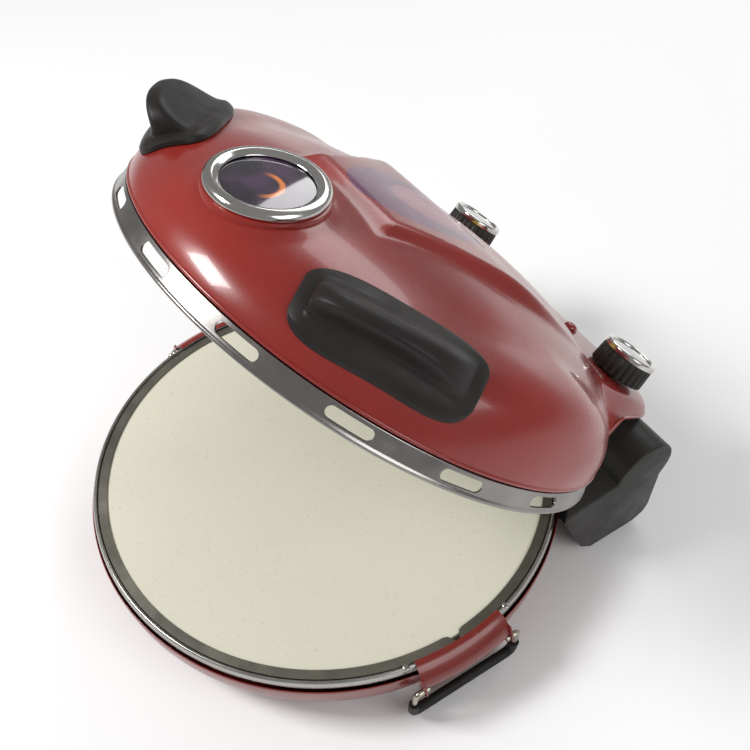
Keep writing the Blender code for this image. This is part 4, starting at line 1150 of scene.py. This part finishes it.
def join(tree, source, target):
    tree.links.new(source, target)


def calc(tree, operation, first, second=0.0, third=None):
    """One Math node; each input is a socket or a number."""
    node = tree.nodes.new("ShaderNodeMath")
    node.operation = operation
    for place, value in enumerate((first, second, third)):
        if value is None:
            continue
        if isinstance(value, (int, float)):
            node.inputs[place].default_value = value
        else:
            join(tree, value, node.inputs[place])
    return node.outputs[0]


def step_mask(tree, value, low, high):
    """0 below low, 1 above high, smooth in between."""
    node = tree.nodes.new("ShaderNodeMapRange")
    node.interpolation_type = "SMOOTHSTEP"
    join(tree, value, node.inputs["Value"])
    node.inputs["From Min"].default_value = low
    node.inputs["From Max"].default_value = high
    return node.outputs["Result"]


def fade_mask(tree, value, low, high):
    """1 below low, 0 above high, smooth in between."""
    return calc(tree, "SUBTRACT", 1.0, step_mask(tree, value, low, high))


def square_sum(tree, first, second):
    return calc(tree, "ADD", calc(tree, "MULTIPLY", first, first), calc(tree, "MULTIPLY", second, second))


def noise(tree, scale, detail=2.0, stretch=None):
    """Noise over the object's own space, optionally stretched along its axes."""
    place = tree.nodes.new("ShaderNodeTexCoord").outputs["Object"]
    if stretch is not None:
        mapping = tree.nodes.new("ShaderNodeMapping")
        mapping.inputs["Scale"].default_value = stretch
        join(tree, place, mapping.inputs["Vector"])
        place = mapping.outputs["Vector"]
    node = tree.nodes.new("ShaderNodeTexNoise")
    node.inputs["Scale"].default_value = scale
    node.inputs["Detail"].default_value = detail
    join(tree, place, node.inputs["Vector"])
    return node.outputs["Fac"]


def blend_colour(tree, mask, first, second):
    """Mix two colours by a mask; each colour is a socket or an RGB triple."""
    node = tree.nodes.new("ShaderNodeMix")
    node.data_type = "RGBA"
    join(tree, mask, node.inputs["Factor"])
    for socket, value in ((node.inputs["A"], first), (node.inputs["B"], second)):
        if isinstance(value, tuple):
            socket.default_value = (*value, 1.0)
        else:
            join(tree, value, socket)
    return node.outputs["Result"]


def mottled(tree, main, first, second, scale, detail=3.0):
    """Base colour that wanders between two close tones."""
    tone = blend_colour(tree, step_mask(tree, noise(tree, scale, detail), 0.35, 0.65), first, second)
    join(tree, tone, main.inputs["Base Color"])
    return tone


def vary_roughness(tree, main, scale, low, high):
    node = tree.nodes.new("ShaderNodeMapRange")
    join(tree, noise(tree, scale, 4.0), node.inputs["Value"])
    node.inputs["From Min"].default_value = 0.3
    node.inputs["From Max"].default_value = 0.7
    node.inputs["To Min"].default_value = low
    node.inputs["To Max"].default_value = high
    join(tree, node.outputs["Result"], main.inputs["Roughness"])


def relief(tree, main, height, strength, distance=0.0002):
    node = tree.nodes.new("ShaderNodeBump")
    node.inputs["Strength"].default_value = strength
    node.inputs["Distance"].default_value = distance
    join(tree, height, node.inputs["Height"])
    join(tree, node.outputs["Normal"], main.inputs["Normal"])


def plan_place(tree):
    """Across-axis place of a turned piece, from its UV map: x, y and distance from the axis."""
    uv = tree.nodes.new("ShaderNodeUVMap")
    uv.uv_map = "plan"
    parts = tree.nodes.new("ShaderNodeSeparateXYZ")
    join(tree, uv.outputs["UV"], parts.inputs["Vector"])
    x = calc(tree, "SUBTRACT", parts.outputs["X"], PLAN_SHIFT)
    y = calc(tree, "SUBTRACT", parts.outputs["Y"], PLAN_SHIFT)
    return x, y, calc(tree, "SQRT", square_sum(tree, x, y))


def enamel(name, bright, deep, printed=False):
    made, tree, main = shader(name, bright, 0.26, coat=0.3)
    tone = mottled(tree, main, bright, deep, 9.0)
    vary_roughness(tree, main, 35.0, 0.22, 0.32)
    relief(tree, main, noise(tree, 700.0, 1.0), 0.05)
    if printed:
        x, y = plan_place(tree)[:2]
        join(tree, console_print(tree, x, y, tone), main.inputs["Base Color"])
    return made


def oval(tree, x, y, centre, radii, soft=0.04):
    """Mask that is 1 inside an oval in the lid's plan."""
    across = calc(tree, "DIVIDE", calc(tree, "SUBTRACT", x, centre[0]), radii[0])
    along = calc(tree, "DIVIDE", calc(tree, "SUBTRACT", y, centre[1]), radii[1])
    return fade_mask(tree, square_sum(tree, across, along), 1.0 - soft, 1.0 + soft)


def console_print(tree, x, y, ground):
    """Plain printed colour fields on the console: a violet one in front, an amber one behind."""
    violet = oval(tree, x, y, (0.0, -0.022), (0.036, 0.052))
    inner = oval(tree, x, y, (0.0, -0.010), (0.022, 0.030))
    amber = oval(tree, x, y, (0.0, 0.118), (0.068, 0.026))
    cut = oval(tree, x, y, (0.0, 0.126), (0.044, 0.016))
    tone = blend_colour(tree, violet, ground, (0.120, 0.012, 0.075))
    tone = blend_colour(tree, inner, tone, (0.28, 0.06, 0.11))
    tone = blend_colour(tree, amber, tone, (0.52, 0.33, 0.02))
    return blend_colour(tree, cut, tone, (0.42, 0.06, 0.02))


def brushed(name, bright, deep, roughness, turned_piece=True, polish=0.05):
    """Bare steel with fine lines that run round a turned piece, or along a flat one."""
    made, tree, main = shader(name, bright, roughness, metallic=1.0)
    mottled(tree, main, bright, deep, 14.0)
    vary_roughness(tree, main, 60.0, roughness - 0.06, roughness + 0.08)
    if turned_piece:
        far = plan_place(tree)[2]
        lines = tree.nodes.new("ShaderNodeTexNoise")
        lines.noise_dimensions = "1D"
        lines.inputs["Scale"].default_value = 4000.0
        join(tree, far, lines.inputs["W"])
        relief(tree, main, lines.outputs["Fac"], polish)
    else:
        relief(tree, main, noise(tree, 500.0, 2.0, (1.0, 0.15, 1.0)), polish)
    return made


def baking_stone(name):
    made, tree, main = shader(name, (0.70, 0.68, 0.55), 0.62)
    tone = mottled(tree, main, (0.71, 0.69, 0.56), (0.67, 0.65, 0.53), 5.0)
    specks = step_mask(tree, noise(tree, 420.0, 2.0), 0.66, 0.72)
    faint = calc(tree, "MULTIPLY", specks, 0.35)
    scratch = step_mask(tree, noise(tree, 26.0, 5.0, (1.0, 14.0, 1.0)), 0.735, 0.76)
    marks = calc(tree, "MAXIMUM", faint, calc(tree, "MULTIPLY", scratch, 0.3))
    join(tree, blend_colour(tree, marks, tone, (0.42, 0.40, 0.31)), main.inputs["Base Color"])
    vary_roughness(tree, main, 30.0, 0.5, 0.72)
    relief(tree, main, noise(tree, 900.0, 3.0), 0.25)
    return made


def moulded(name, bright, deep, low, high, grain=0.35):
    """Moulded plastic or rubber with a fine sparked grain."""
    made, tree, main = shader(name, bright, (low + high) / 2)
    mottled(tree, main, bright, deep, 22.0)
    vary_roughness(tree, main, 90.0, low, high)
    relief(tree, main, noise(tree, 1600.0, 2.0), grain, 0.0001)
    main.inputs["Specular IOR Level"].default_value = 0.25
    return made


def dark_glass(name):
    """Tinted pane with a painted glow: the hot arc of the element, as if dimly seen through it, is painted
    into the glass's colour.
    """
    made, tree, main = shader(name, (0.02, 0.015, 0.03), 0.05, coat=1.0)
    x, y = plan_place(tree)[:2]
    haze = step_mask(tree, noise(tree, 60.0, 3.0), 0.35, 0.7)
    tone = blend_colour(tree, haze, (0.012, 0.010, 0.018), (0.060, 0.028, 0.070))
    # painted glow: an orange arc, where the element would show hot through the pane, painted over one half
    # of the glass
    spread = calc(tree, "SQRT", square_sum(tree, x, calc(tree, "ADD", y, 0.004)))
    ring = calc(tree, "ABSOLUTE", calc(tree, "SUBTRACT", spread, 0.011))
    arc = fade_mask(tree, ring, 0.0006, 0.0022)
    half = step_mask(tree, calc(tree, "ADD", calc(tree, "MULTIPLY", x, 0.8), y), -0.006, 0.006)
    painted_glow = calc(tree, "MULTIPLY", arc, half)
    join(tree, blend_colour(tree, painted_glow, tone, (0.75, 0.22, 0.05)), main.inputs["Base Color"])
    vary_roughness(tree, main, 20.0, 0.03, 0.07)
    return made


def dial_cap(name):
    """Glossy cap with a ring of plain tick marks and a pointer."""
    made, tree, main = shader(name, (0.02, 0.018, 0.018), 0.12, coat=1.0)
    x, y, far = plan_place(tree)
    turn = calc(tree, "DIVIDE", calc(tree, "ARCTAN2", y, x), 2 * math.pi)
    share = calc(tree, "FRACT", calc(tree, "MULTIPLY", turn, 24.0))
    thin = fade_mask(tree, calc(tree, "ABSOLUTE", calc(tree, "SUBTRACT", share, 0.5)), 0.05, 0.09)
    outside = step_mask(tree, far, 0.0098, 0.0100)
    band = calc(tree, "MULTIPLY", outside, fade_mask(tree, far, 0.0126, 0.0128))
    narrow = fade_mask(tree, calc(tree, "ABSOLUTE", x), 0.0006, 0.0008)
    reach = calc(tree, "MULTIPLY", step_mask(tree, y, 0.0020, 0.0022), fade_mask(tree, y, 0.0088, 0.0090))
    pointer = calc(tree, "MULTIPLY", narrow, reach)
    marks = calc(tree, "MAXIMUM", calc(tree, "MULTIPLY", thin, band), pointer)
    clouds = step_mask(tree, noise(tree, 80.0), 0.4, 0.6)
    haze = blend_colour(tree, clouds, (0.018, 0.016, 0.016), (0.028, 0.022, 0.024))
    join(tree, blend_colour(tree, marks, haze, (0.62, 0.58, 0.50)), main.inputs["Base Color"])
    vary_roughness(tree, main, 60.0, 0.08, 0.16)
    return made


def lens(name, bright, deep):
    made, tree, main = shader(name, bright, 0.12, coat=1.0)
    mottled(tree, main, bright, deep, 150.0)
    vary_roughness(tree, main, 120.0, 0.08, 0.16)
    main.inputs["Subsurface Weight"].default_value = 0.2
    main.inputs["Subsurface Scale"].default_value = 0.002
    return made


def fibre(name):
    made, tree, main = shader(name, (0.55, 0.52, 0.44), 0.9)
    mottled(tree, main, (0.58, 0.55, 0.47), (0.48, 0.45, 0.38), 120.0)
    relief(tree, main, noise(tree, 800.0, 4.0), 0.6)
    return made


# material slot: the function that makes it and what that function is given after the name
LOOKS = {
    "base_red_paint": (enamel, (0.23, 0.022, 0.015), (0.18, 0.016, 0.011)),
    "lid_red_paint": (enamel, (0.29, 0.022, 0.016), (0.22, 0.016, 0.012), True),
    "liner_steel": (brushed, (0.50, 0.49, 0.47), (0.40, 0.39, 0.37), 0.26),
    "strip_steel": (brushed, (0.30, 0.28, 0.24), (0.22, 0.21, 0.18), 0.38, False),
    "baking_stone": (baking_stone,),
    "foot_rubber": (moulded, (0.022, 0.021, 0.020), (0.014, 0.013, 0.013), 0.7, 0.9),
    "insulation": (fibre,),
    "element_sheath": (brushed, (0.12, 0.11, 0.10), (0.07, 0.06, 0.06), 0.5, False),
    "clip_steel": (brushed, (0.42, 0.41, 0.39), (0.33, 0.32, 0.30), 0.35, False),
    "terminal_ceramic": (moulded, (0.68, 0.65, 0.57), (0.60, 0.57, 0.50), 0.4, 0.6),
    "rivet_steel": (brushed, (0.55, 0.54, 0.52), (0.45, 0.44, 0.42), 0.22),
    "housing_plastic": (moulded, (0.030, 0.028, 0.026), (0.022, 0.021, 0.019), 0.38, 0.52),
    "pin_steel": (brushed, (0.50, 0.50, 0.50), (0.42, 0.42, 0.42), 0.3, False),
    "ring_steel": (brushed, (0.34, 0.32, 0.31), (0.26, 0.25, 0.24), 0.24),
    "reflector_steel": (brushed, (0.48, 0.47, 0.45), (0.38, 0.37, 0.35), 0.3),
    "bezel_chrome": (brushed, (0.62, 0.61, 0.59), (0.54, 0.53, 0.51), 0.14, True, 0.02),
    "window_glass": (dark_glass,),
    "seal_rubber": (moulded, (0.022, 0.021, 0.020), (0.015, 0.014, 0.014), 0.7, 0.9),
    "grip_plastic": (moulded, (0.020, 0.018, 0.016), (0.014, 0.012, 0.011), 0.40, 0.55),
    "arm_steel": (brushed, (0.20, 0.20, 0.20), (0.15, 0.15, 0.15), 0.42, False),
    "control_plastic": (moulded, (0.60, 0.57, 0.50), (0.55, 0.52, 0.45), 0.4, 0.6),
    "lamp_amber_lens": (lens, (0.55, 0.16, 0.02), (0.45, 0.10, 0.01)),
    "lamp_red_lens": (lens, (0.32, 0.018, 0.012), (0.24, 0.012, 0.008)),
    "knob_plastic": (moulded, (0.030, 0.026, 0.023), (0.022, 0.019, 0.017), 0.35, 0.5),
    "knob_chrome": (brushed, (0.66, 0.65, 0.63), (0.58, 0.57, 0.55), 0.1, True, 0.02),
    "knob_cap_gloss": (dial_cap,),
    "bail_wire": (brushed, (0.50, 0.47, 0.40), (0.42, 0.39, 0.33), 0.25, False),
    "sleeve_rubber": (moulded, (0.020, 0.019, 0.018), (0.014, 0.013, 0.012), 0.5, 0.7),
}


def look(slot):
    """The slot's material, made the first time that it is asked for."""
    maker, *settings = LOOKS[slot]
    return bpy.data.materials.get(slot) or maker(slot, *settings)


# ---- floor, light and camera ---------------------------------------------------------------------
def floor():
    bm = bmesh.new()
    size, low = 6.0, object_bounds()[0][2]
    corners = ((-size, -size), (size, -size), (size, size), (-size, size))
    bm.faces.new([bm.verts.new((x, y, low)) for x, y in corners])
    mesh = bpy.data.meshes.new("floor")
    bm.to_mesh(mesh)
    bm.free()
    ground = bpy.data.objects.new("floor", mesh)
    bpy.context.scene.collection.objects.link(ground)
    made, tree, main = shader("pale_floor", (0.94, 0.94, 0.94), 0.9)
    mottled(tree, main, (0.95, 0.95, 0.95), (0.93, 0.93, 0.93), 1.5)
    main.inputs["Specular IOR Level"].default_value = 0.1
    mesh.materials.append(made)
    ground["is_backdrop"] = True


def softbox(name, place, target, size, power, tint=(1.0, 1.0, 1.0)):
    data = bpy.data.lights.new(name, "AREA")
    data.shape = "RECTANGLE"
    data.size, data.size_y = size
    data.energy = power
    data.color = tint
    light = bpy.data.objects.new(name, data)
    bpy.context.scene.collection.objects.link(light)
    light.location = place
    away = Vector(place) - Vector(target)
    light.rotation_euler = away.to_track_quat("Z", "Y").to_euler()
    return light


def lights():
    world = bpy.data.worlds.new("studio")
    world.use_nodes = True
    sky = world.node_tree.nodes["Background"]
    sky.inputs["Color"].default_value = (1.0, 0.99, 0.98, 1.0)
    sky.inputs["Strength"].default_value = 0.30
    bpy.context.scene.world = world
    softbox("key", (-0.55, -0.95, 1.30), (0, 0, 0.1), (0.5, 0.5), 21)
    softbox("side", (1.30, 0.35, 1.05), (0, 0.05, 0.15), (1.0, 0.8), 8)
    softbox("back", (-0.6, 1.3, 1.0), (0, 0.1, 0.15), (1.2, 0.6), 8)


def camera():
    turn, rise, roll = CAMERA_TURN, CAMERA_RISE, CAMERA_ROLL
    back = Vector((math.sin(turn) * math.cos(rise), -math.cos(turn) * math.cos(rise), math.sin(rise)))
    right = Vector((math.cos(turn), math.sin(turn), 0))
    up = back.cross(right)
    level_right = right * math.cos(roll) + up * math.sin(roll)
    level_up = up * math.cos(roll) - right * math.sin(roll)
    data = bpy.data.cameras.new("camera")
    data.lens = LENS
    data.sensor_width = 36.0
    data.shift_x, data.shift_y = LENS_SHIFT
    data.clip_start = 0.01
    data.clip_end = 50.0
    data.dof.use_dof = False
    eye = bpy.data.objects.new("camera", data)
    bpy.context.scene.collection.objects.link(eye)
    place = Matrix((level_right, level_up, back)).transposed().to_4x4()
    place.translation = Vector(CAMERA_TARGET) + back * CAMERA_FAR
    eye.matrix_world = place
    bpy.context.scene.camera = eye


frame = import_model()
draw_oven()
settle(frame["record"])
floor()
lights()
camera()
bpy.context.scene.view_settings.view_transform = "Standard"
